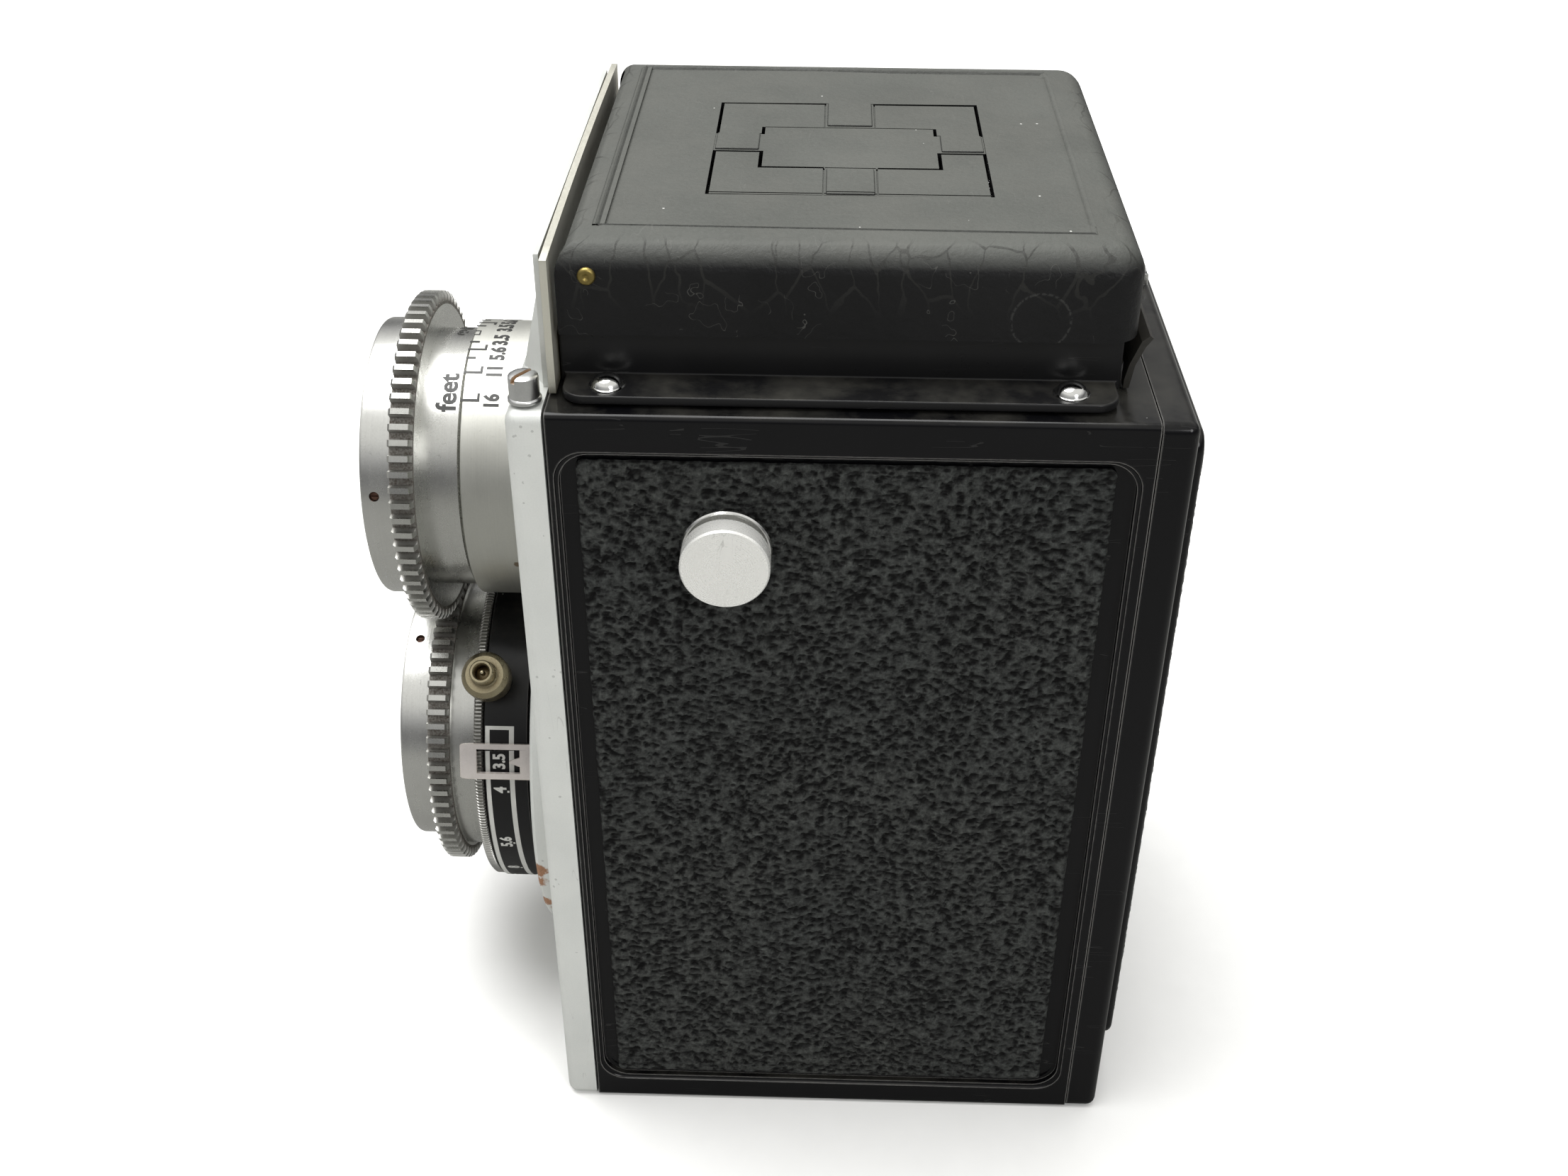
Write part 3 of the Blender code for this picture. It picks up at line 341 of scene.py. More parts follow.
class Group(Net):
    """A node group. Its inputs come with their defaults, and put() names its outputs."""

    def __init__(self, name, **inputs):
        super().__init__(bpy.data.node_groups.new(name, "ShaderNodeTree"))
        for label, value in inputs.items():
            kind = "NodeSocketVector" if isinstance(value, tuple) else "NodeSocketFloat"
            made = self.tree.interface.new_socket(label, in_out="INPUT", socket_type=kind)
            made.default_value = value
        source = self.tree.nodes.new("NodeGroupInput")
        self.given = {label: Value(self.tree, source.outputs[label]) for label in inputs}
        self.end = self.tree.nodes.new("NodeGroupOutput")

    def put(self, **values):
        for label, value in values.items():
            self.tree.interface.new_socket(label, in_out="OUTPUT", socket_type="NodeSocketFloat")
            self.tree.links.new(value.socket, self.end.inputs[label])
        return self.tree


class Look(Net):
    """A material. It starts with its shader's constants, and done() links what varies."""

    def __init__(self, name, roughness=0.5, metallic=0.0, **sockets):
        self.material = bpy.data.materials.new(name)
        self.material.use_nodes = True
        super().__init__(self.material.node_tree)
        self.shader = self.tree.nodes["Principled BSDF"]
        for key, value in {"Roughness": roughness, "Metallic": metallic, **sockets}.items():
            self.shader.inputs[key.replace("_", " ")].default_value = value

    def done(self, base, rough, height, strength, distance, metal=None):
        relief = self.out("Bump", "Normal", {"Height": height, "Strength": strength, "Distance": distance})
        for label, value in (("Base Color", base), ("Roughness", rough), ("Metallic", metal), ("Normal", relief)):
            if value is not None:
                self.tree.links.new(value.socket, self.shader.inputs[label])
        return self.material


# Mottle: cloudy variation at two scales, for colour and roughness.
net = Group("mottle", Broad=300.0, Fine=2500.0)
broad = net.noise(net.given["Broad"], 4.0)
fine = net.noise(net.given["Fine"], 3.0)
mottle = net.put(broad=broad, fine=fine, both=broad * 0.6 + fine * 0.4)

# Dust: pale specks, and a film that settles on faces that look up.
net = Group("dust", Specks=0.06, Film=0.3)
cells = wire(net.tree, "TexVoronoi", {"Vector": net.place(), "Scale": 420.0}, feature="F1").outputs
picked = net.out("SeparateColor", 0, {"Color": cells["Color"]})
specks = (Value(net.tree, cells["Distance"]) < 0.055) * (picked < net.given["Specks"])
upward = net.stretch(net.split(net.out("NewGeometry", "Normal"), "Z"), 0.55, 0.95)
film = upward * net.stretch(net.noise(90.0, 5.0, 0.65), 0.42, 0.72) * net.given["Film"]
dust = net.put(specks=specks, film=film)

# Hairlines: thin scratches, from the level lines of a stretched noise.
net = Group("hairlines", Stretch=(1.0, 0.06, 1.0), Scale=500.0, Width=0.004)
waves = net.noise(net.given["Scale"], 1.5, place=net.vector("MULTIPLY", net.place(), net.given["Stretch"]))
line = (waves - 0.55).step("ABSOLUTE") < net.given["Width"]
hairlines = net.put(mask=line * (net.noise(130.0) > 0.56))

# Edge mask: where a bevelled normal leaves the true one, the surface turns a sharp corner. It marks edge wear, and on
# the gloss enamel a painted highlight.
net = Group("worn_edges", Radius=0.0004, Bite=0.35)
eased = net.out("Bevel", "Normal", {"Radius": net.given["Radius"]}, samples=4)
same = net.vector("DOT_PRODUCT", eased, net.out("NewGeometry", "Normal"), "Value")
edge = same * -6.0 + 5.0 + net.noise(1100.0, 5.0)
worn_edges = net.put(mask=net.stretch(edge, net.given["Bite"], 1.0))


def black_paint(name, colour, gloss, film, specks=0.05, edge_wear_and_highlight_colour=(0.10, 0.095, 0.085), edges=0.5):
    """Black paint with orange peel, dust, hairlines and lightened edges: edge wear, and a painted highlight where the
    edge colour is light.
    """
    look = Look(name, gloss, Specular_IOR_Level=0.24)
    cloud = look.use(mottle, Broad=120.0, Fine=900.0)
    dusty = look.use(dust, Specks=specks, Film=film)
    edge_wear_and_glint = look.use(worn_edges, Radius=0.00035)["mask"] * edges
    base = look.mix(cloud["broad"], [c * 0.8 for c in colour], [c * 1.3 for c in colour])
    # Sharp edges are mixed to the edge colour: worn paint, and a painted highlight when that colour is light.
    base = look.mix(edge_wear_and_glint, base, edge_wear_and_highlight_colour)
    base = look.mix(look.use(hairlines, Width=0.003)["mask"] * 0.10, base, (0.12, 0.12, 0.115))
    base = look.mix(dusty["film"], base, (0.13, 0.125, 0.105))
    base = look.mix(dusty["specks"], base, (0.5, 0.5, 0.48))
    rough = cloud["both"] * 0.14 + (gloss - 0.05) + dusty["film"] * 0.6 + edge_wear_and_glint * 0.2
    return look.done(base, rough, cloud["broad"], 0.25, 0.00006)


def cloudy(name, dark, light, rough, metallic=0.0, broad=200.0, fine=3800.0, swing=0.2, tooth=0.4,
           depth=0.00004, scratched=0.0, shine="both", **sockets):
    """A plain surface with cloudy colour, uneven shine, fine scratches and a fine tooth."""
    look = Look(name, rough, metallic, **sockets)
    cloud = look.use(mottle, Broad=broad, Fine=fine)
    base = look.mix(cloud["both"], dark, light)
    if scratched:
        mask = look.use(hairlines, Stretch=(1.0, 0.1, 1.0), Scale=600.0, Width=0.0025)["mask"]
        base = look.mix(mask * scratched, base, [min(1, c * 2 + 0.05) for c in light])
    return look.done(base, cloud[shine] * swing + (rough - swing / 2), cloud["fine"], tooth, depth)


# The light edge colour paints thin highlights along the enamel's sharp edges, on top of edge wear.
enamel = black_paint("gloss_enamel", (0.0025, 0.0025, 0.003), 0.10, 0.22,
                     edge_wear_and_highlight_colour=(0.20, 0.195, 0.185), edges=1.0)
settle(shell, enamel, "camera_body", "black_enamel", "body_shell")


# ------------------------------------------------------------------ leather panels
# Split hide, dyed black and rolled to a deep pebble grain whose pores run in slanting rows.
# Each panel is cut about a millimetre small and glued to the floor of its recess.

def grain_depth(u, v):
    """Depth of the grain in millimetres at a point of the hide, in millimetres, and how deep in a pore or wrinkle
    trough it is, which sets its painted shade.
    """
    lean = math.radians(-24)
    sway = Vector((noise.noise(Vector((u * 0.07, v * 0.07, 3.1))), noise.noise(Vector((u * 0.07, v * 0.07, 7.7)))))
    along = u * math.cos(lean) + v * math.sin(lean) + 2.2 * sway.x
    across = -u * math.sin(lean) + v * math.cos(lean) + 2.6 * sway.y
    drift = noise.noise(Vector((u * 0.9, v * 0.9, 9.0)))
    gaps = noise.voronoi(Vector((along * 0.86 + 0.30 * drift, across * 1.42 + 0.40 * drift, 0.0)))[0]
    size = 0.49 + 0.22 * noise.noise(Vector((u * 1.1, v * 1.1, 20.0)))
    pore = min(1.0, max(0.0, 1.12 - gaps[0] / size) * 1.9)
    wrinkle = noise.noise(Vector((along * 1.0, across * 2.4, 5.0)))
    fibre = noise.noise(Vector((along * 2.2, across * 2.8, 15.0)))
    swell = noise.noise(Vector((u * 0.28, v * 0.28, 1.0)))
    # How dark the point is painted: pores and wrinkle troughs are painted near-black as painted shade.
    dark = min(1.0, max(0.0, pore - 0.3 * fibre) + max(0.0, -wrinkle - 0.2) * 1.3)
    return -0.36 * pore + 0.14 * wrinkle + 0.10 * fibre + 0.04 * swell, dark


def hide_panel(name, size, corner, pitch, thickness, share=1.0):
    """A flat panel of grained hide lying on z = 0, its face upwards, centred on the origin."""
    bpy.ops.object.select_all(action="DESELECT")
    counts = [round(length / pitch) for length in size]
    bpy.ops.mesh.primitive_grid_add(x_subdivisions=counts[0], y_subdivisions=counts[1], size=1)
    made = bpy.context.object
    made.name = name
    made.scale = (size[0] * MM, size[1] * MM, 1)
    bpy.ops.object.transform_apply(location=False, rotation=False, scale=True)
    edit(made)
    choose("edges", lambda e: e.is_boundary)
    extrude(z=-thickness)
    bpy.ops.mesh.edge_face_add()
    bpy.ops.mesh.select_all(action="SELECT")
    push(z=thickness)
    leave()
    # The depth attribute holds that painted shade for the pores and wrinkle troughs.
    depth = made.data.attributes.new("depth", "FLOAT", "POINT")
    values = []
    inner = (size[0] / 2 - corner, size[1] / 2 - corner)
    for vertex in made.data.vertices:
        u, v = vertex.co.x / MM, vertex.co.y / MM
        spare = Vector((max(0.0, abs(u) - inner[0]), max(0.0, abs(v) - inner[1])))
        if min(spare) > 0 and spare.length > corner:
            spare = spare.normalized() * corner
            u = math.copysign(inner[0] + spare.x, u)
            v = math.copysign(inner[1] + spare.y, v)
        relief, pore = grain_depth(u, v)
        margin = min(size[0] / 2 - abs(u), size[1] / 2 - abs(v))
        relief *= share * min(1.0, 0.25 + margin / 1.6)
        ragged = 0.10 * noise.noise(Vector((u * 0.9, v * 0.9, 40.0)))
        if margin < 0.05:
            u -= math.copysign(0.12 + ragged, u) if size[0] / 2 - abs(u) < 0.05 else 0
            v -= math.copysign(0.12 + ragged, v) if size[1] / 2 - abs(v) < 0.05 else 0
        height = vertex.co.z / MM
        if height > 0.1:
            height += relief - max(0.0, 0.5 - margin) * 0.5
        vertex.co = (u * MM, v * MM, height * MM)
        values.append(pore)
    depth.data.foreach_set("value", values)
    return made


look = Look("pebbled_hide", 0.5, Specular_IOR_Level=0.34)
depth = look.out("Attribute", "Fac", None, attribute_name="depth")
cloud = look.use(mottle, Broad=45.0, Fine=3500.0)
hairs = look.stretch(look.noise(1500.0, 5.0, 0.75), 0.34, 0.68)
top = look.mix(cloud["broad"], (0.058, 0.066, 0.064), (0.100, 0.104, 0.094))
top = look.mix(hairs, (0.0075, 0.008, 0.008), top)
leaning = {"Vector": look.place(), "Rotation": (math.radians(24), 0, 0), "Scale": (0.8, 0.8, 1.5)}
sway = look.out("TexNoise", "Color", {"Vector": look.place(), "Scale": 260.0, "Detail": 2.0})
spots = look.vector("ADD", look.out("Mapping", "Vector", leaning), look.vector("MULTIPLY", sway, (0.0013,) * 3))
cells = wire(look.tree, "TexVoronoi", {"Vector": spots, "Scale": 1050.0, "Randomness": 0.9}).outputs
# The pores and wrinkle troughs, from the depth attribute and from these cells, are painted near-black: painted shade.
pits = look.stretch(cells["Distance"], 0.46, 0.22) * (look.out("SeparateColor", 0, {"Color": cells["Color"]}) > 0.36)
base = look.mix(depth.step("MAXIMUM", pits), top, (0.0008, 0.0008, 0.001))
base = look.mix(look.use(dust, Specks=0.08, Film=0.0)["specks"], base, (0.45, 0.45, 0.43))
rough = (cloud["both"] * 0.26 + 0.34 + depth * 0.45).step("MINIMUM", 1.0)
hide = look.done(base, rough, hairs - pits * 1.2, 1.0, 0.00024)
LEATHER_MIDDLE = (-0.5, 53.3)
for side, name in ((1, "left"), (-1, "right")):
    panel = hide_panel("hide_" + name, (58.2, 96.8), 1.2, 0.26, 0.66)
    turn = Matrix(((0, 0, side), (side, 0, 0), (0, 1, 0))).to_4x4()
    middle = Vector((side * 36.5, *LEATHER_MIDDLE)) * MM
    panel.data.transform(Matrix.Translation(middle) @ turn)
    across, up, size = {1: (-13.3, 91.4, 3.2), -1: (18.2, 78.7, 4.2)}[side]
    bpy.ops.mesh.primitive_cylinder_add(vertices=48, radius=size * MM, depth=0.02,
                                        location=(side * 37 * MM, across * MM, up * MM), rotation=(0, math.pi / 2, 0))
    combine(panel, bpy.context.object, "DIFFERENCE")
    settle(panel, hide, "camera_body", "leather", "side_leather_" + name, angle=80)


# ------------------------------------------------------------------ front casting and name plate
# One light-alloy die casting holds both lenses. Its faces are stoved with a fine silver lacquer,
# chipped to bare and rusty metal round the boss. It is screwed to the front of the shell.

def turned(name, rings, at, facing, steps=96):
    """Turns a profile: a circle is extruded ring by ring. Rings are (radius, distance along the axis)."""
    bpy.ops.object.select_all(action="DESELECT")
    rings = list(rings)
    tip = rings.pop(0)[1] if rings[0][0] == 0 else None
    radius, height = rings[0]
    bpy.ops.mesh.primitive_circle_add(vertices=steps, radius=radius * MM, location=(0, 0, height * MM),
                                      fill_type="NOTHING" if tip is None else "TRIFAN")
    made = bpy.context.object
    made.name = name
    bpy.ops.object.transform_apply(location=True, rotation=True, scale=True)
    edit(made)
    if tip is not None:
        choose("verts", lambda v: v.co.xy.length < 0.5 * radius * MM)
        push(z=tip - height)
    choose("edges", lambda e: e.is_boundary or e.is_wire)
    for next_radius, next_height in rings[1:]:
        extrude(z=next_height - height)
        if next_radius == 0:
            bpy.ops.mesh.merge(type="CENTER")
            break
        ratio = next_radius / radius
        bpy.ops.transform.resize(value=(ratio, ratio, 1), center_override=(0, 0, 0))
        radius, height = next_radius, next_height
    bpy.ops.mesh.select_all(action="SELECT")
    bpy.ops.mesh.remove_doubles(threshold=0.000001)
    bpy.ops.mesh.normals_make_consistent(inside=False)
    leave()
    made.rotation_euler = [math.radians(a) for a in facing]
    made.location = [value * MM for value in at]
    bpy.ops.object.transform_apply(location=True, rotation=True, scale=True)
    return made


FORWARD, REARWARD, LEFTWARD, RIGHTWARD, UPWARD = (90, 0, 0), (-90, 0, 0), (0, 90, 0), (0, -90, 0), (0, 0, 0)
TAKING, VIEWING = (0, 0, 38.9), (0, 0, 80.9)

casting = block("casting", (-37.5, 37.5), (-36.8, -32.75), (0, 107.4))
edit(casting)
choose("edges", lambda e: centre(e).y < -36.7 or abs(centre(e).y + 34.775) < 0.1)
round_edges(1.4, 5)
leave()
boss = turned("boss", [(0, 40.0), (28.9, 40.0), (29.3, 39.85), (29.5, 39.5), (29.5, 36.0), (0, 36.0)],
              TAKING, FORWARD, 128)
combine(boss, turned("relief", [(0, 45), (18.3, 45), (18.3, 30), (0, 30)], VIEWING, FORWARD, 96), "DIFFERENCE")
combine(casting, boss, "UNION")
shield = block("shield", (-31.2, 31.2), (-33.3, -32.76), (105.4, 122.7))
gusset = block("gusset", (-31.2, 31.2), (-36.7, -33.0), (105.4, 118.5))
edit(gusset)
choose("verts", lambda v: centre(v).y < -36 and centre(v).z > 118)
push(y=3.5)
choose("verts", lambda v: centre(v).y < -36)
bpy.ops.transform.resize(value=(24.6 / 31.2, 1, 1), center_override=(0, 0, 0))
bpy.ops.mesh.select_all(action="SELECT")
bpy.ops.mesh.quads_convert_to_tris(quad_method="BEAUTY", ngon_method="BEAUTY")
leave()
combine(shield, gusset, "UNION")
combine(casting, shield, "UNION")
for lens in (TAKING, VIEWING):
    combine(casting, turned("bore", [(0, 50), (13.2, 50), (13.2, 20), (0, 20)], lens, FORWARD, 64), "DIFFERENCE")
soften(casting, 0.25, 2, 30)


def rust_spots(look, spots, size):
    """A mask of ragged rust patches round given points, in millimetres."""
    total = None
    for spot in spots:
        away = look.vector("DISTANCE", look.place(), [value * MM for value in spot], "Value")
        near = look.stretch(away, size * MM, 0.0)
        total = near if total is None else total.step("MAXIMUM", near)
    return look.stretch(total + look.noise(900.0, 6.0, 0.7) - 0.5, 0.45, 0.62)


look = Look("cast_silver", 0.42, 0.35)
cloud = look.use(mottle, Broad=160.0, Fine=5200.0)
pits = look.out("TexVoronoi", "Distance", {"Vector": look.place(), "Scale": 900.0}) < 0.16
base = look.mix(cloud["both"], (0.52, 0.535, 0.52), (0.70, 0.71, 0.68))
base = look.mix(pits * (cloud["broad"] > 0.60) * 0.35, base, (0.12, 0.12, 0.115))
scratch = look.use(hairlines, Stretch=(1.0, 1.0, 0.05), Width=0.002)["mask"]
base = look.mix(scratch * 0.3, base, (0.25, 0.25, 0.24))
rust = rust_spots(look, [(29.2, -39.7, 34.4), (28.0, -39.9, 32.2), (26.6, -39.6, 26.6), (25.8, -37.9, 24.2)], 2.6)
base = look.mix(rust, base, look.mix(cloud["fine"], (0.10, 0.04, 0.015), (0.42, 0.22, 0.12)))
silver = look.done(base, rust * 0.4 + cloud["both"] * 0.2 + 0.34, cloud["fine"], 0.35, 0.00004, rust * -0.35 + 0.35)
settle(casting, silver, "camera_body", "cast_alloy", "front_casting", angle=24)

plate = block("blank_name_plate", (-33.2, 33.2), (-32.4, -31.6), (107.7, 122.9))
edit(plate)
for count in (3, 3):
    bpy.ops.mesh.select_all(action="SELECT")
    bpy.ops.mesh.subdivide(number_cuts=count)
for step in range(-16, 17):
    choose("verts", lambda v: abs(centre(v).x - step * 33.2 / 16) < 1.0 and centre(v).z > 119.5)
    push(y=-0.22 * (1 - (step / 16) ** 2))
leave()
soften(plate, 0.15, 2, 50)
look = Look("tarnished_plate", 0.38, 0.75)
cloud = look.use(mottle, Broad=110.0, Fine=4000.0)
base = look.mix(cloud["both"], (0.60, 0.585, 0.49), (0.74, 0.73, 0.66))
# Ambient occlusion darkens the plate towards brown where the lid and casting come close to it: painted shade.
grime_and_shade = look.out("AmbientOcclusion", "AO", {"Distance": 0.0012}, samples=8) * -1.0 + 1.0
base = look.mix(grime_and_shade, base, (0.22, 0.19, 0.12))
cream = look.done(base, cloud["fine"] * 0.3 + 0.26, cloud["fine"], 0.3, 0.00003)
settle(plate, cream, "camera_body", "plate", "name_plate")


# ------------------------------------------------------------------ strap posts
# Small turned studs screwed into the casting's upper corners. Each has a screwdriver slot, packed
# with brown grime, and a thin washer under it.

# Lathe marks: fine tool marks round an axis, which is given by a centre and a turn.
net = Group("lathe_marks", Centre=(0.0, 0.0, 0.0), Turn=(0.0, 0.0, 0.0), Pitch=9000.0)
moved = net.vector("SUBTRACT", net.place(), net.given["Centre"])
faced = net.out("Mapping", "Vector", {"Vector": moved, "Rotation": net.given["Turn"]})
x, y, along = [net.split(faced, axis) for axis in "XYZ"]
radius = (x * x + y * y).step("SQRT")
track = {"X": radius, "Y": along, "Z": y.step("ARCTAN2", x) * 0.00012}
track = net.out("CombineXYZ", "Vector", track)
lathe_marks = net.put(marks=net.noise(net.given["Pitch"], place=track), bands=net.noise(1100.0, place=track),
                      radius=radius, along=along)
ALONG_Y = (math.radians(-90), 0, 0)
ALONG_X = (0, math.radians(-90), 0)


def in_metres(point):
    return [value * MM for value in point]


def turned_metal(name, middle, turn, dark, light, rough, grime_and_shade=None, marks=0.35, stains=None):
    """Bare turned metal: tool marks, cloudy tarnish, hairlines and, for a gear, brown soiling and painted shade below
    a radius.
    """
    look = Look(name, rough, 1.0)
    tool = look.use(lathe_marks, Centre=in_metres(middle), Turn=turn)
    cloud = look.use(mottle, Broad=170.0, Fine=4200.0)
    base = look.mix(cloud["both"], dark, light)
    base = look.mix(tool["marks"] * 0.22, base, [c * 0.72 for c in dark])
    scratch = look.use(hairlines, Stretch=(1.0, 1.0, 1.0), Scale=700.0, Width=0.0025)["mask"]
    base = look.mix(scratch * 0.35, base, [c * 0.5 for c in dark])
    roughness = cloud["both"] * 0.16 + (rough - 0.06) + tool["bands"] * 0.08
    metal = None
    if grime_and_shade is not None:
        low, high = grime_and_shade
        # Below that radius the hollows between teeth are darkened to brown: soiling and painted shade.
        hollow = look.stretch(tool["radius"], high * MM, low * MM) * (tool["radius"] > (low - 0.35) * MM)
        dirt_and_shade = hollow.step("MULTIPLY", cloud["fine"] * 0.9 + 0.35, clamp=True)
        base = look.mix(dirt_and_shade, base, (0.035, 0.021, 0.009))
        roughness = roughness + dirt_and_shade * 0.4
        metal = dirt_and_shade * -0.7 + 1.0
    if stains:
        base = look.mix(rust_spots(look, stains, 0.9) * 0.8, base, (0.16, 0.10, 0.045))
    return look.done(base, roughness, tool["marks"], marks, 0.00002, metal)


for side, name in ((1, "left"), (-1, "right")):
    at = (side * 34.6, -34.75, 107.7)
    post = turned("post_" + name, [(0, 3.1), (0.9, 3.1), (1.35, 3.02), (1.6, 2.85), (1.65, 2.6), (1.65, 0.5),
                                   (1.75, 0.42), (1.82, 0.32), (1.82, 0.0), (0, 0.0)], at, UPWARD, 48)
    groove = block("groove", (-3, 3), (-0.28, 0.28), (-0.7, 0.7))
    groove.rotation_euler = (0, 0, math.radians(-35))
    groove.location = (at[0] * MM, at[1] * MM, (at[2] + 3.1) * MM)
    combine(post, groove, "DIFFERENCE")
    look = Look("stud_metal_" + name, 0.3, 1.0)
    tool = look.use(lathe_marks, Centre=in_metres(at))
    cloud = look.use(mottle, Broad=900.0, Fine=5200.0)
    packed = look.stretch(look.out("AmbientOcclusion", "AO", {"Distance": 0.0009}, samples=8), 0.85, 0.45)
    packed = packed * (tool["along"] > 2.2 * MM)
    base = look.mix(cloud["both"], (0.52, 0.53, 0.53), (0.74, 0.74, 0.73))
    base = look.mix(packed, base, look.mix(cloud["broad"], (0.06, 0.035, 0.015), (0.55, 0.33, 0.16)))
    stud = look.done(base, packed * 0.5 + 0.28, tool["marks"], 0.5, 0.00003, packed * -1.0 + 1.0)
    settle(post, stud, "camera_body", "bright_aluminium", "strap_post_" + name)


# ------------------------------------------------------------------ hood base
# A collar pressed from thin steel, flanged along both sides and painted black. Four chrome
# dome-headed rivets hold the flanges down to the deck, and dust lies in their corners.

collar = block("hood_collar", (-30.2, 30.2), (-31.4, 28.8), (107.7, 116.4))
flange = block("flange", (-35.65, 35.65), (-30.9, 28.3), (107.69, 108.7))
edit(flange)
choose("edges", lambda e: abs(centre(e).z - 108.2) < 0.1)
round_edges(2.6, 8)
leave()
combine(collar, flange, "UNION")
soften(collar, 0.42, 4, 50)
for side in (1, -1):
    ear = block("ear", sorted((side * 29.2, side * 30.2)), (-29.65, -25.85), (112.0, 122.65))
    edit(ear)
    choose("edges", lambda e: centre(e).z > 122.6 and abs(e.verts[0].co.x - e.verts[1].co.x) > 0.5 * MM)
    round_edges(1.85, 6)
    leave()
    combine(collar, ear, "UNION")
cut(collar, (-29.2, 29.2), (-30.4, 27.8), (100, 130))
cut(collar, (-40, 40), (-33, -29.9), (113.4, 130))
cut(collar, (-40, 40), (27.79, 40), (114.0, 130))
PIVOT = (0, -27.75, 120.75)
pivot_hole = [(0, 40), (0.75, 40), (0.75, -40), (0, -40)]
combine(collar, turned("hole", pivot_hole, PIVOT, LEFTWARD, 24), "DIFFERENCE")
satin_black = black_paint("hood_paint", (0.008, 0.008, 0.0085), 0.27, film=0.35, specks=0.09)
settle(collar, satin_black, "camera_body", "black_paint", "hood_base")

chrome = cloudy("chrome_plate", (0.60, 0.60, 0.59), (0.80, 0.80, 0.78), 0.11, 1.0, broad=400.0, fine=5000.0,
                swing=0.16, tooth=0.1, depth=0.00002)
RIVETS = {"front_left": (32.9, -26.1), "front_right": (-32.9, -26.1), "rear_left": (33.0, 23.3),
          "rear_right": (-33.0, 23.3)}
for where, (x, y) in RIVETS.items():
    dome = [(0, 1.25)] + [(1.75 * math.sin(t), 1.25 * math.cos(t)) for t in (0.2, 0.4, 0.6, 0.8, 1.0, 1.2, 1.4)]
    rivet = turned("rivet_" + where, dome + [(1.78, 0.1), (2.0, 0.05), (2.0, 0.0), (0, 0.0)],
                   (x, y, 108.71), UPWARD, 32)
    settle(rivet, chrome, "camera_body", "chrome", "hood_rivet_" + where, angle=60)


# ------------------------------------------------------------------ lid, finder flap and brass pivots
# A pressed lid covered in a smooth black skin. The skin has greyed on top and has cracked where it is drawn over the
# edges; its upward faces are painted much lighter than its sides, partly greying and partly painted light from above.
# The sports finder's flaps are punched out of it, their joints left as creases.

lid = block("lid", (-31.9, 31.9), (-31.1, 30.2), (109.0, 124.1))
edit(lid)
choose("edges", lambda e: centre(e).z > 124 or (centre(e).y > 30 and abs(centre(e).x) > 31.8 and centre(e).z < 124))
round_edges(3.35, 8)
choose("faces", lambda f: f.normal.z > 0.99 and centre(f).z > 124.05)
bpy.ops.mesh.inset(thickness=2.2 * MM)
bpy.ops.transform.resize(value=(26.4 / 26.35, 1, 1), center_override=(0, 0, 0))
for inward, up in ((0.3, 0.09), (0.25, 0.17), (0.3, 0.06), (0.3, -0.04), (0.25, -0.17), (0.3, -0.09)):
    bpy.ops.mesh.inset(thickness=inward * MM)
    push(z=up)
leave()
cut(lid, (-40, 40), (-40, 40), (105, 114))
hollow = block("hollow", (-30.9, 30.9), (-36.1, 29.2), (104, 123.1))
soften(hollow, 1.6, 3, 50)
combine(lid, hollow, "DIFFERENCE")
combine(lid, turned("hole", pivot_hole, PIVOT, LEFTWARD, 24), "DIFFERENCE")
cut(lid, (-13.8, 17.3), (-16.4, 15.2), (119, 129))
soften(lid, 0.12, 2, 60)

flap = block("finder", (-13.4, 17.1), (-16.0, 14.8), (123.1, 124.16))
for x, y in (((-13.77, -13.0), (-3.5, 2.5)), ((-2.5, 3.4), (-16.37, -15.5)), ((-2.5, 3.4), (14.3, 15.17))):
    combine(flap, block("tab", x, y, (123.1, 124.16)), "UNION")
SLOTS = [((3.4, 3.85), (-17, -10.55)), ((3.4, 8.9), (-11.0, -10.55)), ((8.45, 8.9), (-11.0, -3.5)),
         ((3.4, 3.85), (9.55, 16)), ((3.4, 8.9), (9.55, 10.0)), ((8.45, 8.9), (2.6, 10.0)),
         ((-4.9, -2.3), (-11.0, -10.6)), ((-4.9, -2.3), (9.4, 9.8))]
for x, y in (((-13.6, -5.4), (-3.2, 2.2)), ((9.2, 17.0), (-3.2, 2.2)), ((-2.2, 3.1), (-16.2, -11.1)),
             ((-2.2, 3.1), (10.1, 15.0))):
    pad = block("pad", x, y, (123.9, 124.38))
    soften(pad, 0.2, 3)
    combine(flap, pad, "UNION")
for x, y in SLOTS:
    cut(flap, x, y, (122, 126))
CREASES = [((-5.0, -4.8), (-10.6, 9.4)), ((-14, -4.9), (-3.6, -3.4)), ((-14, -4.9), (2.4, 2.6)),
           ((8.9, 18), (-3.6, -3.4)), ((8.9, 18), (2.4, 2.6)), ((-2.6, -2.4), (-17, -10.9)),
           ((-2.6, -2.4), (9.7, 16)), ((8.55, 8.8), (-3.4, 2.4)), ((16.5, 16.75), (-16.0, 14.8))]
for x, y in CREASES:
    cut(flap, x, y, (123.98, 126))
soften(flap, 0.06, 2, 50)

look = Look("lid_skin", 0.5, Specular_IOR_Level=0.24)
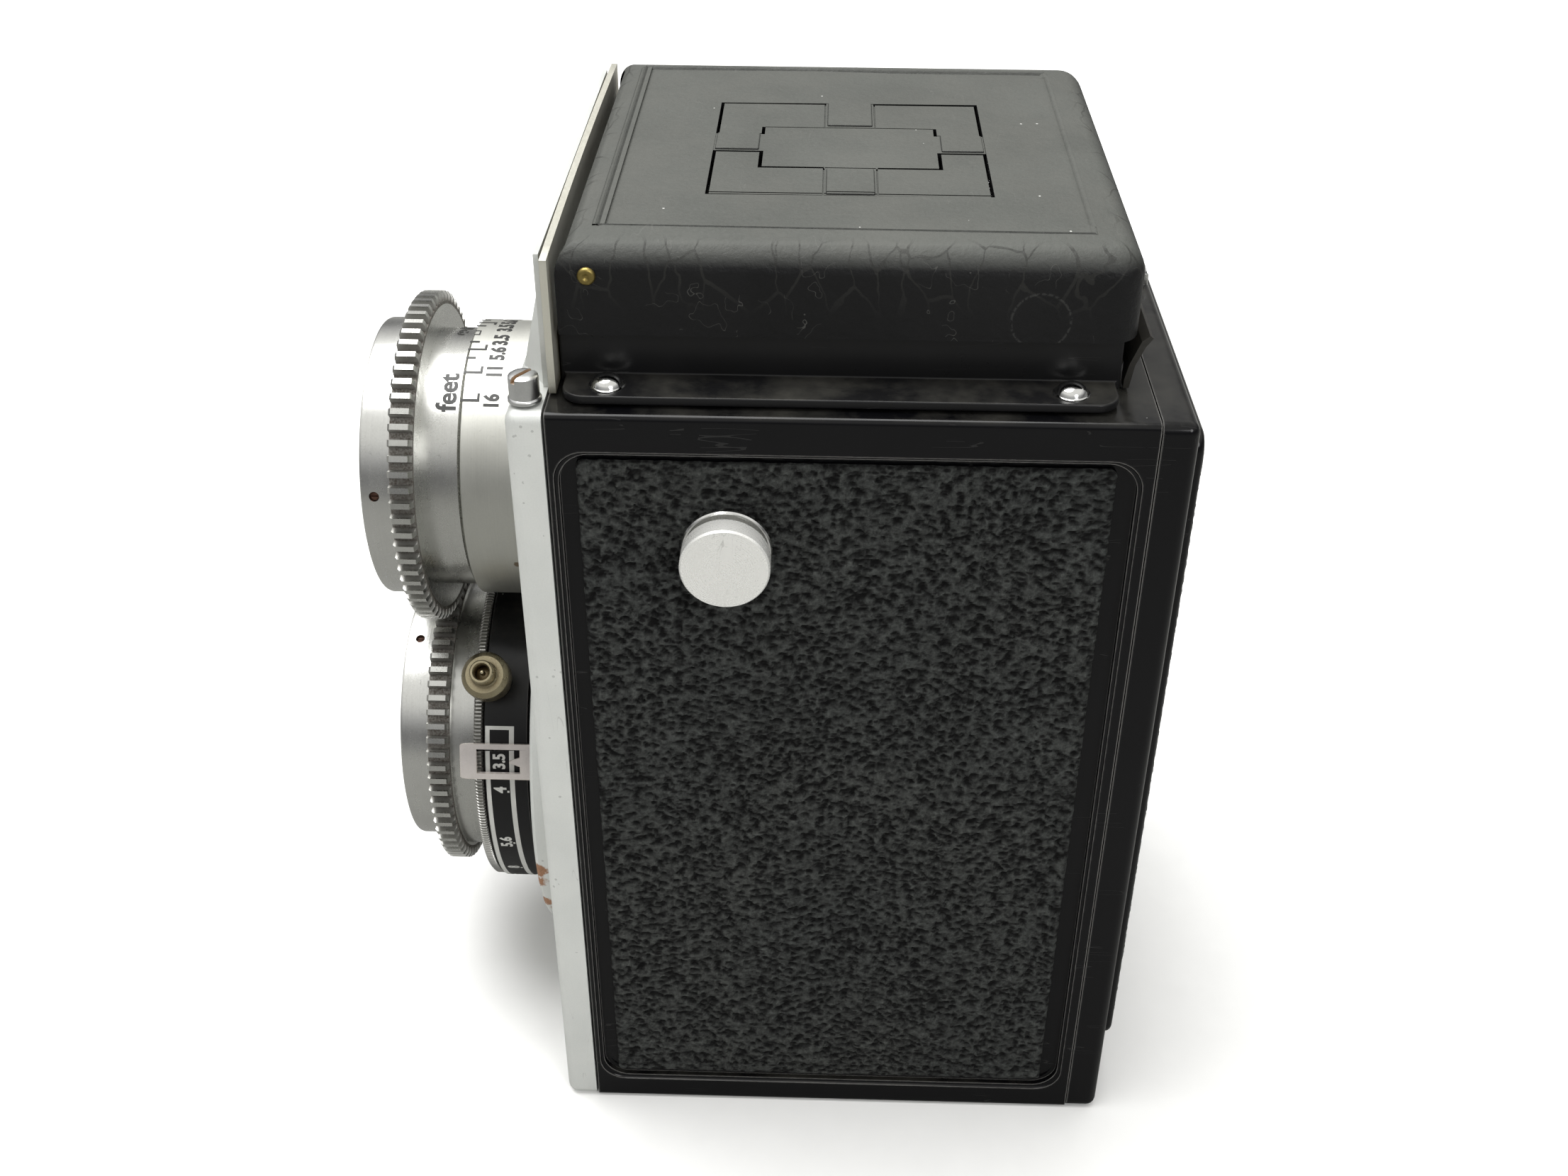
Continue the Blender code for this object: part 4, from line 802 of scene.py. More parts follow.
# Faces that look up are painted lighter than the sides, as greyed skin and as painted light from above.
up = look.stretch(look.split(look.out("NewGeometry", "Normal"), "Z"), 0.3, 0.95)
cloud = look.use(mottle, Broad=70.0, Fine=2600.0)
dusty = look.use(dust, Specks=0.16, Film=0.5)
base = look.mix(cloud["broad"], (0.0025, 0.0027, 0.003), (0.008, 0.008, 0.0085))
base = look.mix(up, base, look.mix(cloud["both"], (0.046, 0.048, 0.043), (0.112, 0.116, 0.106)))
shift = {"X": cloud["broad"] * 0.012 - 0.006, "Y": cloud["broad"] * 0.010 - 0.005}
warped = look.vector("ADD", look.place(), look.out("CombineXYZ", "Vector", shift))
warped = look.vector("MULTIPLY", warped, (0.5, 1.0, 0.42))
cracks = look.out("TexVoronoi", "Distance", {"Vector": warped, "Scale": 260.0}, feature="DISTANCE_TO_EDGE")
height = look.split(look.place(), "Z")
crack = (cracks < 0.022) * look.stretch(height, 0.1165, 0.1205) * look.stretch(height, 0.1241, 0.1236)
base = look.mix(crack * 0.6, base, (0.020, 0.020, 0.018))
scratch = look.use(hairlines, Stretch=(0.25, 1.0, 1.0), Scale=420.0, Width=0.003)["mask"]
base = look.mix(scratch * 0.30, base, (0.13, 0.13, 0.12))
base = look.mix(dusty["film"], base, (0.10, 0.10, 0.09))
base = look.mix(dusty["specks"], base, (0.5, 0.5, 0.48))
scuff = look.vector("DISTANCE", look.place(), (31.9 * MM, 19.5 * MM, 116.4 * MM), "Value") - 0.0031
ring = look.stretch(scuff.step("ABSOLUTE"), 0.00018, 0.00004) * (cloud["fine"] > 0.47)
base = look.mix(ring * 0.22, base, (0.09, 0.09, 0.085))
relief = look.noise(700.0, 5.0, 0.7) + cloud["broad"] - crack * 1.2
skin = look.done(base, cloud["both"] * 0.24 + 0.34 + up * 0.10, relief, 0.9, 0.00022)
settle(lid, skin, "lid", "lid_leather", "hood_lid")
settle(flap, skin, "flap", "lid_leather", "finder_flap")

for side, name, facing in ((1, "left", LEFTWARD), (-1, "right", RIGHTWARD)):
    pin = turned("brass_pivot_" + name, [(0, 32.25), (0.22, 32.27), (0.34, 32.42), (0.62, 32.5), (0.85, 32.4),
                                         (0.97, 32.2), (0.97, 32.0), (0.65, 32.0), (0.65, 28.9), (0, 28.9)],
                 PIVOT, facing, 32)
    brass = turned_metal("old_brass_" + name, PIVOT, ALONG_X, (0.20, 0.15, 0.045), (0.42, 0.33, 0.12), 0.36)
    settle(pin, brass, "camera_body", "brass", "lid_pivot_" + name, angle=50)


def finish(material, *names):
    """Gives pieces that are kept as drawn in the CAD their proper surface."""
    for name in names:
        nodes[name].data.materials.clear()
        nodes[name].data.materials.append(material)


look = Look("spring_strip", 0.42, 0.3)
cloud = look.use(mottle, Broad=200.0, Fine=3000.0)
film = look.use(dust, Specks=0.05, Film=0.5)["film"]
base = look.mix(film, look.mix(cloud["both"], (0.015, 0.014, 0.012), (0.05, 0.047, 0.04)), (0.13, 0.125, 0.1))
catch_metal = look.done(base, cloud["both"] * 0.3 + 0.3, cloud["fine"], 0.3, 0.00004)
finish(catch_metal, "lid_catch")


# ------------------------------------------------------------------ viewing lens unit
# A fixed barrel carries the depth-of-field marks. The focusing sleeve in front of it has the distance
# scale and a coarse gear, and a rim with one set screw holds the lens. All are turned aluminium.

PITCH = 2 * math.pi / 70
TOOTH = ((0.0, True), (0.19, True), (0.27, False), (0.385, False), (0.5, False), (0.615, False), (0.73, False),
         (0.81, True))


def toothed(name, rings, at, turn, root=20.25):
    """A turned piece whose rings beyond the root radius follow the outline of 70 teeth."""
    made = turned(name, rings, (0, 0, 0), UPWARD, 560)
    for vertex in made.data.vertices:
        radius = vertex.co.xy.length / MM
        if radius > root:
            count = round(math.atan2(vertex.co.y, vertex.co.x) / (PITCH / 8))
            share, tip = TOOTH[count % 8]
            angle = (count // 8 + share) * PITCH + turn
            radius = radius if tip else root
            vertex.co.x = radius * math.cos(angle) * MM
            vertex.co.y = radius * math.sin(angle) * MM
    made.rotation_euler = [math.radians(a) for a in FORWARD]
    made.location = [value * MM for value in at]
    bpy.ops.object.transform_apply(location=True, rotation=True, scale=True)
    return made


def wrapped(obj, radius, angle, y, zc):
    """Bends a flat mesh round a lens barrel. Its x runs with the angle and its y towards the front."""
    for vertex in obj.data.vertices:
        across, up, out = vertex.co / MM
        turn = math.radians(angle) + across / radius
        vertex.co = Vector(((radius + out) * math.cos(turn), y - up, zc + (radius + out) * math.sin(turn))) * MM
    return obj


def sheet(x, y, low, high, count):
    """A thin flat strip in millimetres, divided along x so that it can be bent."""
    bpy.ops.object.select_all(action="DESELECT")
    bpy.ops.mesh.primitive_grid_add(x_subdivisions=count, y_subdivisions=1, size=1,
                                    location=(sum(x) / 2 * MM, sum(y) / 2 * MM, low * MM))
    made = bpy.context.object
    made.scale = ((x[1] - x[0]) * MM, (y[1] - y[0]) * MM, 1)
    bpy.ops.object.transform_apply(location=True, rotation=True, scale=True)
    edit(made)
    bpy.ops.mesh.select_all(action="SELECT")
    extrude(z=high - low)
    bpy.ops.mesh.select_all(action="SELECT")
    bpy.ops.mesh.normals_make_consistent(inside=False)
    leave()
    return made


def figure(text, height, squeeze=0.8, weight=0.0):
    """Raised figures of a given height, as a mesh centred on its own middle."""
    bpy.ops.object.select_all(action="DESELECT")
    bpy.ops.object.text_add()
    made = bpy.context.object
    made.data.body = text
    made.data.size = 1.0
    made.data.resolution_u = 3
    made.data.offset = weight
    bpy.ops.object.convert(target="MESH")
    made = bpy.context.object
    low = [min(v.co[i] for v in made.data.vertices) for i in (0, 1)]
    high = [max(v.co[i] for v in made.data.vertices) for i in (0, 1)]
    size = height / (high[1] - low[1]) * MM
    for vertex in made.data.vertices:
        vertex.co.x = (vertex.co.x - (low[0] + high[0]) / 2) * size * squeeze
        vertex.co.y = (vertex.co.y - (low[1] + high[1]) / 2) * size
        vertex.co.z = -0.02 * MM
    edit(made)
    bpy.ops.mesh.select_all(action="SELECT")
    bpy.ops.mesh.remove_doubles(threshold=0.0000005)
    extrude(z=0.06)
    bpy.ops.mesh.select_all(action="SELECT")
    bpy.ops.mesh.normals_make_consistent(inside=False)
    leave()
    return made


def joined(name, pieces):
    bpy.ops.object.select_all(action="DESELECT")
    for piece in pieces:
        piece.select_set(True)
    bpy.context.view_layer.objects.active = pieces[0]
    bpy.ops.object.join()
    pieces[0].name = name
    return pieces[0]


BARREL_RADIUS, SLEEVE_RADIUS = 17.9, 16.8
VIEW_HEIGHT, TAKE_HEIGHT = VIEWING[2], TAKING[2]
PAINT_LAYER = (-0.02, 0.04)
barrel = turned("depth_scale_barrel", [(13.6, 47.2), (17.75, 47.2), (BARREL_RADIUS, 47.05), (BARREL_RADIUS, 37.1),
                                       (13.6, 37.1), (13.6, 47.2)], VIEWING, FORWARD, 160)
stains = [(16.9, -41.0, 75.0), (16.6, -40.2, 74.2)]
satin = turned_metal("satin_barrel", VIEWING, ALONG_Y, (0.48, 0.48, 0.445), (0.66, 0.66, 0.615), 0.40,
                     marks=0.5, stains=stains)
settle(barrel, satin, "camera_body", "turned_aluminium", "viewing_barrel")

SCALE_PAINT = {"broad": 500.0, "fine": 6000.0, "swing": 0.3, "tooth": 0.3, "depth": 0.00003, "shine": "fine"}
ink = cloudy("black_scale_paint", (0.006, 0.006, 0.006), (0.03, 0.03, 0.028), 0.45, **SCALE_PAINT)
DEPTH_MARKS = ((52.0, 2.34, True), (64.8, 2.34, True), (77.5, 2.34, True), (72.4, 1.2, False), (82.6, 1.2, False))
marks = []
for angle, length, foot in DEPTH_MARKS:
    for side in (1, -1):
        turn = 90 + side * (90 - angle)
        stroke = sheet((-0.17, 0.17), (0, length), *PAINT_LAYER, 2)
        marks.append(wrapped(stroke, BARREL_RADIUS, turn, -47.35 + length, VIEW_HEIGHT))
        if foot:
            ends = (-0.95, 0.17) if side > 0 else (-0.17, 0.95)
            marks.append(wrapped(sheet(ends, (0, 0.3), *PAINT_LAYER, 3), BARREL_RADIUS, turn, -45.01, VIEW_HEIGHT))
DEPTH_FIGURES = ((52.2, "16"), (65.4, "11"), (75.2, "5.6"), (84.4, "3.5"), (95.6, "3.5"), (104.8, "5.6"),
                 (114.6, "11"), (127.8, "16"))
for angle, text in DEPTH_FIGURES:
    marks.append(wrapped(figure(text, 2.0, 0.80, 0.04), BARREL_RADIUS, angle, -43.57, VIEW_HEIGHT))
for x, y in (((-0.62, 0.62), (0.0, 0.17)), ((-0.62, -0.45), (0.0, 0.75)), ((0.45, 0.62), (0.0, 0.75))):
    marks.append(wrapped(sheet(x, y, *PAINT_LAYER, 3), BARREL_RADIUS, 90, -46.4, VIEW_HEIGHT))
settle(joined("depth_marks", marks), ink, "camera_body", "black_paint", angle=20)

GEAR = [(20.9, 52.3), (21.55, 52.62), (21.55, 54.88), (21.2, 55.2)]
sleeve = [(12.7, 47.5), (16.62, 47.5), (SLEEVE_RADIUS, 47.68), (SLEEVE_RADIUS, 52.3)]
view_gear = toothed("viewing_gear", sleeve + GEAR + [(12.4, 55.2), (12.4, 52.3), (12.7, 52.3), (12.7, 47.5)],
                    VIEWING, PITCH / 2)
GEAR_GREY = ((0.44, 0.44, 0.42), (0.74, 0.74, 0.71), 0.22)
# Tooth gaps below this radius range are darkened: soiling and painted shade.
TOOTH_GRIME_AND_SHADE = (20.2, 21.35)
gear_metal = turned_metal("viewing_gear_metal", VIEWING, ALONG_Y, *GEAR_GREY, TOOTH_GRIME_AND_SHADE)
settle(view_gear, gear_metal, "viewing_unit", "turned_aluminium", "viewing_focus_ring")
marks = [wrapped(figure("feet", 2.6, 1.0, 0.028), SLEEVE_RADIUS, 57.6, -49.33, VIEW_HEIGHT)]
DISTANCES = ((99.8, "∞", 1.3), (109.0, "60", 1.8), (118.5, "30", 1.8), (130.0, "15", 1.8), (143.0, "10", 1.8),
             (155.0, "8", 1.8), (168.0, "6", 1.8), (180.0, "5", 1.8), (194.0, "4", 1.8), (210.0, "3.5", 1.8))
for angle, text, height in DISTANCES:
    marks.append(wrapped(figure(text, height, 0.85, 0.018), SLEEVE_RADIUS, angle, -49.3, VIEW_HEIGHT))
settle(joined("distance_figures", marks), ink, "viewing_unit", "black_paint", angle=20)

RIM = [(16.2, 59.5), (17.62, 59.5), (17.95, 59.38), (18.06, 59.1), (18.06, 55.5), (12.2, 55.5), (12.2, 56.2),
       (16.2, 59.5)]
screw_colour = cloudy("browned_screw", (0.03, 0.012, 0.008), (0.12, 0.06, 0.04), 0.5, 0.6, broad=900.0,
                      fine=6000.0, swing=0.4, shine="fine")
look = Look("black_lens_cone", 0.6)
cloud = look.use(mottle, Broad=300.0, Fine=3000.0)
rings = look.use(lathe_marks, Centre=[0, -0.056, 0.0809], Turn=ALONG_Y, Pitch=2500.0)
base = look.mix(cloud["both"], (0.006, 0.006, 0.006), (0.016, 0.016, 0.016))
cone = look.done(base, cloud["fine"] * 0.3 + 0.4, rings["marks"], 0.8, 0.0001)


def lens_front(prefix, middle, body, screw_at, screw_y, rim_node, glass_node):
    """The rim, its set screw, the black cone inside it and the front element."""
    rim = turned(prefix + "_front_rim", RIM, middle, FORWARD, 160)
    turn = math.radians(screw_at)
    reach = (18.06 * math.cos(turn), screw_y, middle[2] + 18.06 * math.sin(turn))
    lean = (0, 90 - screw_at, 0)
    combine(rim, turned("hole", [(0, 1.0), (0.68, 1.0), (0.62, -0.18), (0.62, -1.6), (0, -1.6)], reach, lean, 24),
            "DIFFERENCE")
    metal = turned_metal(prefix + "_rim_metal", middle, ALONG_Y, (0.54, 0.54, 0.52), (0.80, 0.80, 0.775), 0.2)
    settle(rim, metal, body, "turned_aluminium", rim_node)
    screw = turned(prefix + "_set_screw", [(0, -0.35), (0.5, -0.35), (0.6, -0.45), (0.6, -1.55), (0, -1.55)],
                   reach, lean, 24)
    slit = block("slit", (-0.09, 0.09), (-1, 1), (-0.55, 0))
    slit.rotation_euler = [math.radians(a) for a in lean]
    slit.location = [value * MM for value in reach]
    combine(screw, slit, "DIFFERENCE")
    settle(screw, screw_colour, body, "steel", angle=50)
    ring = turned(prefix + "_lens_cone", [(16.15, 59.42), (15.6, 59.0), (12.1, 56.35), (12.1, 55.6), (11.95, 55.6),
                                          (11.95, 56.5), (15.5, 59.15), (16.1, 59.5), (16.15, 59.42)],
                  middle, FORWARD, 96)
    settle(ring, cone, body, "matte_black")
    dome = [(11.85 * math.sin(t) / math.sin(0.5), 55.85 + 1.6 * (math.cos(t) - math.cos(0.5)) / (1 - math.cos(0.5)))
            for t in (0, 0.06, 0.12, 0.18, 0.24, 0.3, 0.36, 0.42, 0.47, 0.5)]
    back = [(11.85, 53.4), (9.0, 53.9), (6.0, 54.3), (3.0, 54.5), (0, 54.55)]
    element = turned(prefix + "_front_element", dome + back, middle, FORWARD, 96)
    settle(element, coated_glass, body, "glass", glass_node, angle=50)


look = Look("coated_glass", 0.02, Transmission_Weight=1.0, IOR=1.52, Coat_Weight=0.4,
            Coat_Tint=(0.55, 0.62, 1.0, 1.0))
cloud = look.use(mottle, Broad=150.0, Fine=2500.0)
specks = look.use(dust, Specks=0.05, Film=0.0)["specks"]
base = look.mix(specks, look.mix(cloud["broad"], (0.93, 0.95, 0.98), (0.97, 0.98, 0.97)), (0.7, 0.7, 0.68))
coated_glass = look.done(base, cloud["fine"] * 0.05 + specks * 0.5, cloud["fine"], 0.03, 0.00001)
lens_front("viewing", VIEWING, "viewing_unit", 13.0, -57.75, "viewing_rim", "viewing_lens")


# ------------------------------------------------------------------ taking lens unit
# The taking lens focuses through the same gear. Under it sit the shutter's milled speed ring and its
# black drum, whose aperture figures show through a nickel tab bent over the edge.

sleeve = [(12.7, 48.7), (19.2, 48.7), (19.4, 48.9), (19.4, 52.3)]
take_gear = toothed("taking_gear", sleeve + GEAR + [(12.4, 55.2), (12.4, 52.3), (12.7, 52.3), (12.7, 48.7)],
                    TAKING, 0.0)
gear_metal = turned_metal("taking_gear_metal", TAKING, ALONG_Y, *GEAR_GREY, TOOTH_GRIME_AND_SHADE)
settle(take_gear, gear_metal, "taking_unit", "turned_aluminium", "taking_focus_ring")
lens_front("taking", TAKING, "taking_unit", 68.8, -57.67, "taking_rim", "taking_lens_front")

MILLED_STEPS = 900
milled = turned("milled_speed_ring", [(14.2, 47.2), (23.4, 47.2), (23.6, 47.35), (23.6, 48.1), (23.3, 48.4),
                                      (14.2, 48.4), (14.2, 47.2)], TAKING, FORWARD, MILLED_STEPS)
for vertex in milled.data.vertices:
    flat = Vector((vertex.co.x, vertex.co.z - TAKING[2] * MM))
    if flat.length > 22.5 * MM:
        count = round(math.atan2(flat.y, flat.x) / (2 * math.pi / MILLED_STEPS))
        if count % 3 == 0:
            flat *= 1 - 0.32 * MM / flat.length
            vertex.co.x = flat.x
            vertex.co.z = flat.y + TAKING[2] * MM
# The knurl's valleys are darkened to brown: soiling and painted shade.
ring_metal = turned_metal("milled_metal", TAKING, ALONG_Y, (0.40, 0.40, 0.38), (0.66, 0.65, 0.62), 0.25,
                          grime_and_shade=(23.1, 23.45))
settle(milled, ring_metal, "speed_selector", "chrome", "speed_ring")

DRUM_RADIUS = 23.8
housing = turned("shutter_drum", [(14.0, 46.9), (23.65, 46.9), (DRUM_RADIUS, 46.75), (DRUM_RADIUS, 41.2),
                                  (22.5, 41.2), (22.5, 45.9), (14.0, 45.9), (14.0, 46.9)],
                 TAKING, FORWARD, 192)
LEVER_TURN = (0, math.radians(-205.0), 0)
slot = block("lever_slot", (19.8, 27.8), (-45.7, -43.9), (-6.0, 0.4))
slot.rotation_euler = LEVER_TURN
slot.location = (0, 0, TAKE_HEIGHT * MM)
combine(housing, slot, "DIFFERENCE")
drum_black = black_paint("shutter_black", (0.007, 0.007, 0.0075), 0.3, film=0.3, specks=0.04)
settle(housing, drum_black, "camera_body", "black_enamel", "shutter_housing")

pale = cloudy("pale_scale_paint", (0.42, 0.42, 0.40), (0.66, 0.66, 0.63), 0.45, 0.35, **SCALE_PAINT)
marks = []
span = (-82.0, 32.3)
arc = [math.radians(value) * DRUM_RADIUS for value in span]
for low, high in ((46.15, 46.73), (42.93, 43.58)):
    marks.append(wrapped(sheet(arc, (low, high), *PAINT_LAYER, 72), DRUM_RADIUS, 0, 0, TAKE_HEIGHT))
stop = sheet((math.radians(31.1) * DRUM_RADIUS, arc[1]), (43.5, 46.2), *PAINT_LAYER, 3)
marks.append(wrapped(stop, DRUM_RADIUS, 0, 0, TAKE_HEIGHT))
APERTURES = ((20.8, "3.5"), (10.9, "4"), (-11.5, "5.6"), (-29.9, "8"), (-48.0, "11"), (-63.0, "16"), (-75.5, "22"))
for angle, text in APERTURES:
    marks.append(wrapped(figure(text, 1.7, 0.82, 0.035), DRUM_RADIUS, angle, -44.94, TAKE_HEIGHT))
    if angle < 15:
        dot = sheet((-0.14, 0.14), (-0.14, 0.14), *PAINT_LAYER, 2)
        marks.append(wrapped(dot, DRUM_RADIUS, angle - 0.6, -43.85, TAKE_HEIGHT))
settle(joined("aperture_figures", marks), pale, "camera_body", "nickel", angle=20)

TAB_RADIUS, TAB_MIDDLE = 24.9, 21.4
flat_tab = sheet((-2.43, 2.43), (0.0, 8.9), -0.6, 0.0, 20)
for corner in (-1, 1):
    edit(flat_tab)
    choose("edges", lambda e: centre(e).y > 8.8 and centre(e).x * corner > 2.4
           and abs(e.verts[0].co.z - e.verts[1].co.z) > 0.3 * MM)
    round_edges(1.2, 5)
    leave()
opening = block("opening", (-1.6, 1.7), (1.0, 6.7), (-2, 2))
combine(flat_tab, opening, "DIFFERENCE")
tongue = block("tongue", (-0.7, 0.7), (0.8, 2.4), (-0.55, -0.05))
edit(tongue)
choose("verts", lambda v: centre(v).y > 2)
bpy.ops.transform.resize(value=(0.15, 1, 1), center_override=(0, 0, 0))
leave()
combine(flat_tab, tongue, "UNION")
wrapped(flat_tab, TAB_RADIUS, TAB_MIDDLE, -41.0, TAKE_HEIGHT)
pointer = turned("pointer_ring", [(14.2, 40.35), (23.4, 40.35), (23.4, 40.85), (14.2, 40.85), (14.2, 40.35)],
                 TAKING, FORWARD, 128)
foot = sheet((-2.0, 2.0), (-0.6, -0.1), -3.0, -0.1, 12)
wrapped(foot, TAB_RADIUS, TAB_MIDDLE, -41.0, TAKE_HEIGHT)
heel = sheet((-2.43, 2.43), (-0.6, 0.1), -0.6, 0.0, 20)
wrapped(heel, TAB_RADIUS, TAB_MIDDLE, -41.0, TAKE_HEIGHT)
combine(pointer, foot, "UNION")
combine(pointer, heel, "UNION")
combine(pointer, flat_tab, "UNION")
soften(pointer, 0.06, 2, 50)
look = Look("worn_nickel", 0.2, 0.6)
cloud = look.use(mottle, Broad=350.0, Fine=4500.0)
base = look.mix(cloud["both"], (0.52, 0.48, 0.455), (0.78, 0.73, 0.70))
base = look.mix(look.use(worn_edges, Radius=0.0002)["mask"] * 0.5, base, (0.45, 0.36, 0.20))
nickel = look.done(base, cloud["both"] * 0.25 + 0.08, cloud["fine"], 0.15, 0.00003)
settle(pointer, nickel, "aperture_selector", "chrome", "aperture_pointer")

lever = block("lever", (17.0, 29.0), (-45.2, -44.4), (-1.2, 1.2))
pad = block("pad", (28.0, 29.4), (-46.6, -43.4), (-1.8, 1.8))
soften(pad, 0.4, 3)
combine(lever, pad, "UNION")
soften(lever, 0.1, 2)
lever.rotation_euler = LEVER_TURN
lever.location = (0, 0, TAKE_HEIGHT * MM)
settle(lever, nickel, "shutter_release", "chrome", "release_lever")

SOCKET_TURN = 46.3
SOCKET = (0, -46.0, TAKING[2])
socket_body = turned("flash_socket", [(1.0, 29.4), (1.0, 31.65), (1.15, 31.85), (1.4, 31.85), (1.55, 31.7),
                                      (1.55, 29.75), (1.75, 29.6), (2.45, 29.6), (2.7, 29.4), (3.0, 29.1),
                                      (3.1, 28.9), (3.1, 26.6), (2.6, 26.2), (2.6, 24.15), (0.9, 24.15),
                                      (0.9, 29.4), (1.0, 29.4)], SOCKET, (0, 90 - SOCKET_TURN, 0), 64)
look = Look("yellowed_nickel", 0.32, 0.95)
cloud = look.use(mottle, Broad=420.0, Fine=4500.0)
hollow = look.stretch(look.out("AmbientOcclusion", "AO", {"Distance": 0.0008}, samples=8), 0.9, 0.5)
base = look.mix(hollow, look.mix(cloud["both"], (0.17, 0.14, 0.08), (0.44, 0.39, 0.27)), (0.07, 0.045, 0.02))
old_nickel = look.done(base, cloud["both"] * 0.35 + 0.12, cloud["fine"], 0.3, 0.00004)
settle(socket_body, old_nickel, "camera_body", "nickel", "sync_socket")
pin = turned("flash_socket_pin", [(0, 31.4), (0.2, 31.35), (0.3, 31.2), (0.3, 30.2), (0.88, 30.1), (0.88, 24.2),
                                  (0, 24.2)], SOCKET, (0, 90 - SOCKET_TURN, 0), 32)
settle(pin, old_nickel, "camera_body", "nickel")


# ------------------------------------------------------------------ knobs on the side walls
# The film carrier's pull knob stands in a polished collar, with a spun finish on its flat end.
# On the other side the winding knob has a coarse straight knurl. Both are turned aluminium.

KNOB = (0, -13.3, 91.4)
collar_ring = turned("knob_collar", [(2.1, 38.6), (4.6, 38.6), (4.9, 38.5), (5.05, 38.3), (5.05, 37.6), (3.0, 37.6),
                                     (3.0, 34.6), (2.1, 34.6), (2.1, 38.6)], KNOB, LEFTWARD, 96)
settle(collar_ring, chrome, "camera_body", "chrome", "knob_bush")


def spun_end(name, middle, turn):
    """Turned aluminium whose end face was spun against a fine pad."""
    look = Look(name, 0.30, 0.45)
    tool = look.use(lathe_marks, Centre=in_metres(middle), Turn=turn)
    cloud = look.use(mottle, Broad=260.0, Fine=4200.0)
    base = look.mix(cloud["both"], (0.72, 0.72, 0.69), (0.82, 0.82, 0.79))
    scratch = look.use(hairlines, Stretch=(1.0, 1.0, 0.2), Scale=700.0, Width=0.0025)["mask"]
    base = look.mix(scratch * 0.4, base, (0.3, 0.3, 0.29))
    # Sharp edges, the chamfer's among them, are darkened.
    base = look.mix(look.use(worn_edges, Radius=0.00025)["mask"] * 0.4, base, (0.30, 0.29, 0.27))
    rough = tool["marks"] * 0.05 + cloud["both"] * 0.1 + 0.2
    return look.done(base, rough, tool["marks"], 0.05, 0.00001)


knob = turned("pull_knob", [(0, 42.3), (4.45, 42.3), (4.78, 42.2), (4.95, 41.95), (4.95, 39.75), (4.8, 39.6),
                            (3.4, 39.3), (3.4, 38.9), (1.7, 38.9), (1.7, 32.6), (0, 32.6)], KNOB, LEFTWARD, 128)
settle(knob, spun_end("pull_knob_metal", KNOB, ALONG_X), "carrier_lock", "turned_aluminium", "carrier_knob")

TAKEUP = (0, 18.2, 78.7)
winder_collar = turned("winder_collar", [(2.6, 39.0), (5.7, 39.0), (6.0, 38.7), (6.0, 37.4), (3.9, 37.4),
                                         (3.9, 34.6), (2.6, 34.6), (2.6, 39.0)], TAKEUP, RIGHTWARD, 96)
settle(winder_collar, chrome, "camera_body", "chrome", "wind_sleeve")
KNURL_STEPS = 192
winder = turned("winding_knob", [(0, 46.2), (4.0, 46.2), (4.3, 46.5), (8.3, 46.5), (8.75, 46.4), (9.2, 45.9),
                                 (9.2, 40.3), (8.8, 39.9), (8.0, 39.6), (2.3, 39.6), (2.3, 29.5), (0, 29.5)],
                (0, 0, 0), UPWARD, KNURL_STEPS)
for vertex in winder.data.vertices:
    count = round(math.atan2(vertex.co.y, vertex.co.x) / (2 * math.pi / KNURL_STEPS))
    if vertex.co.xy.length > 8.7 * MM and count % 4 in (0, 1):
        vertex.co.x *= 0.965
        vertex.co.y *= 0.965
winder.rotation_euler = [math.radians(a) for a in RIGHTWARD]
winder.location = [value * MM for value in TAKEUP]
settle(winder, spun_end("winding_knob_metal", TAKEUP, ALONG_X), "winder", "turned_aluminium", "wind_knob")


# ------------------------------------------------------------------ door, its window and latch
# The hinged back is a pressed tray in the same enamel, with a raised panel covered in the same hide.
# A chromed cover swings over the red film window, and a sliding catch locks the door at the top.

WINDOW = (0, 0, 27.0)
door = block("door_tray", (-37.5, 37.5), (32.6, 36.7), (0, 107.4))
edit(door)
choose("edges", lambda e: centre(e).y > 36.6 or (abs(centre(e).y - 34.65) < 0.1))
round_edges(1.3, 5)
leave()
raised = block("raised", (-32.5, 32.5), (35.7, 38.6), (8.5, 103.5))
edit(raised)
choose("edges", lambda e: abs(centre(e).y - 37.15) < 0.1)
round_edges(2.5, 6)
choose("edges", lambda e: centre(e).y > 38.5)
round_edges(0.9, 4)
leave()
combine(door, raised, "UNION")
cut(door, (-36.2, 36.2), (30, 35.4), (4.0, 106.1))
cut(door, (-31.0, 31.0), (30, 37.3), (10.0, 102.0))
combine(door, turned("window_hole", [(0, 50), (4.0, 50), (4.0, 20), (0, 20)], WINDOW, REARWARD, 64),
        "DIFFERENCE")
combine(door, turned("pin_hole", [(0, 36.2), (0.85, 36.2), (0.85, -36.2), (0, -36.2)], (0, 35.5, 1.2), LEFTWARD, 24),
        "DIFFERENCE")
cut(door, (-36.2, 36.2), (34.9, 36.1), (1.0, 6.0))
toe = block("toe", (-40, 40), (31.6, 33.3), (-1.0, 1.6))
edit(toe)
choose("verts", lambda v: centre(v).y > 33 and centre(v).z > 1)
push(y=-1.7)
leave()
combine(door, toe, "DIFFERENCE")
settle(door, enamel, "back", "black_enamel", "back_door")

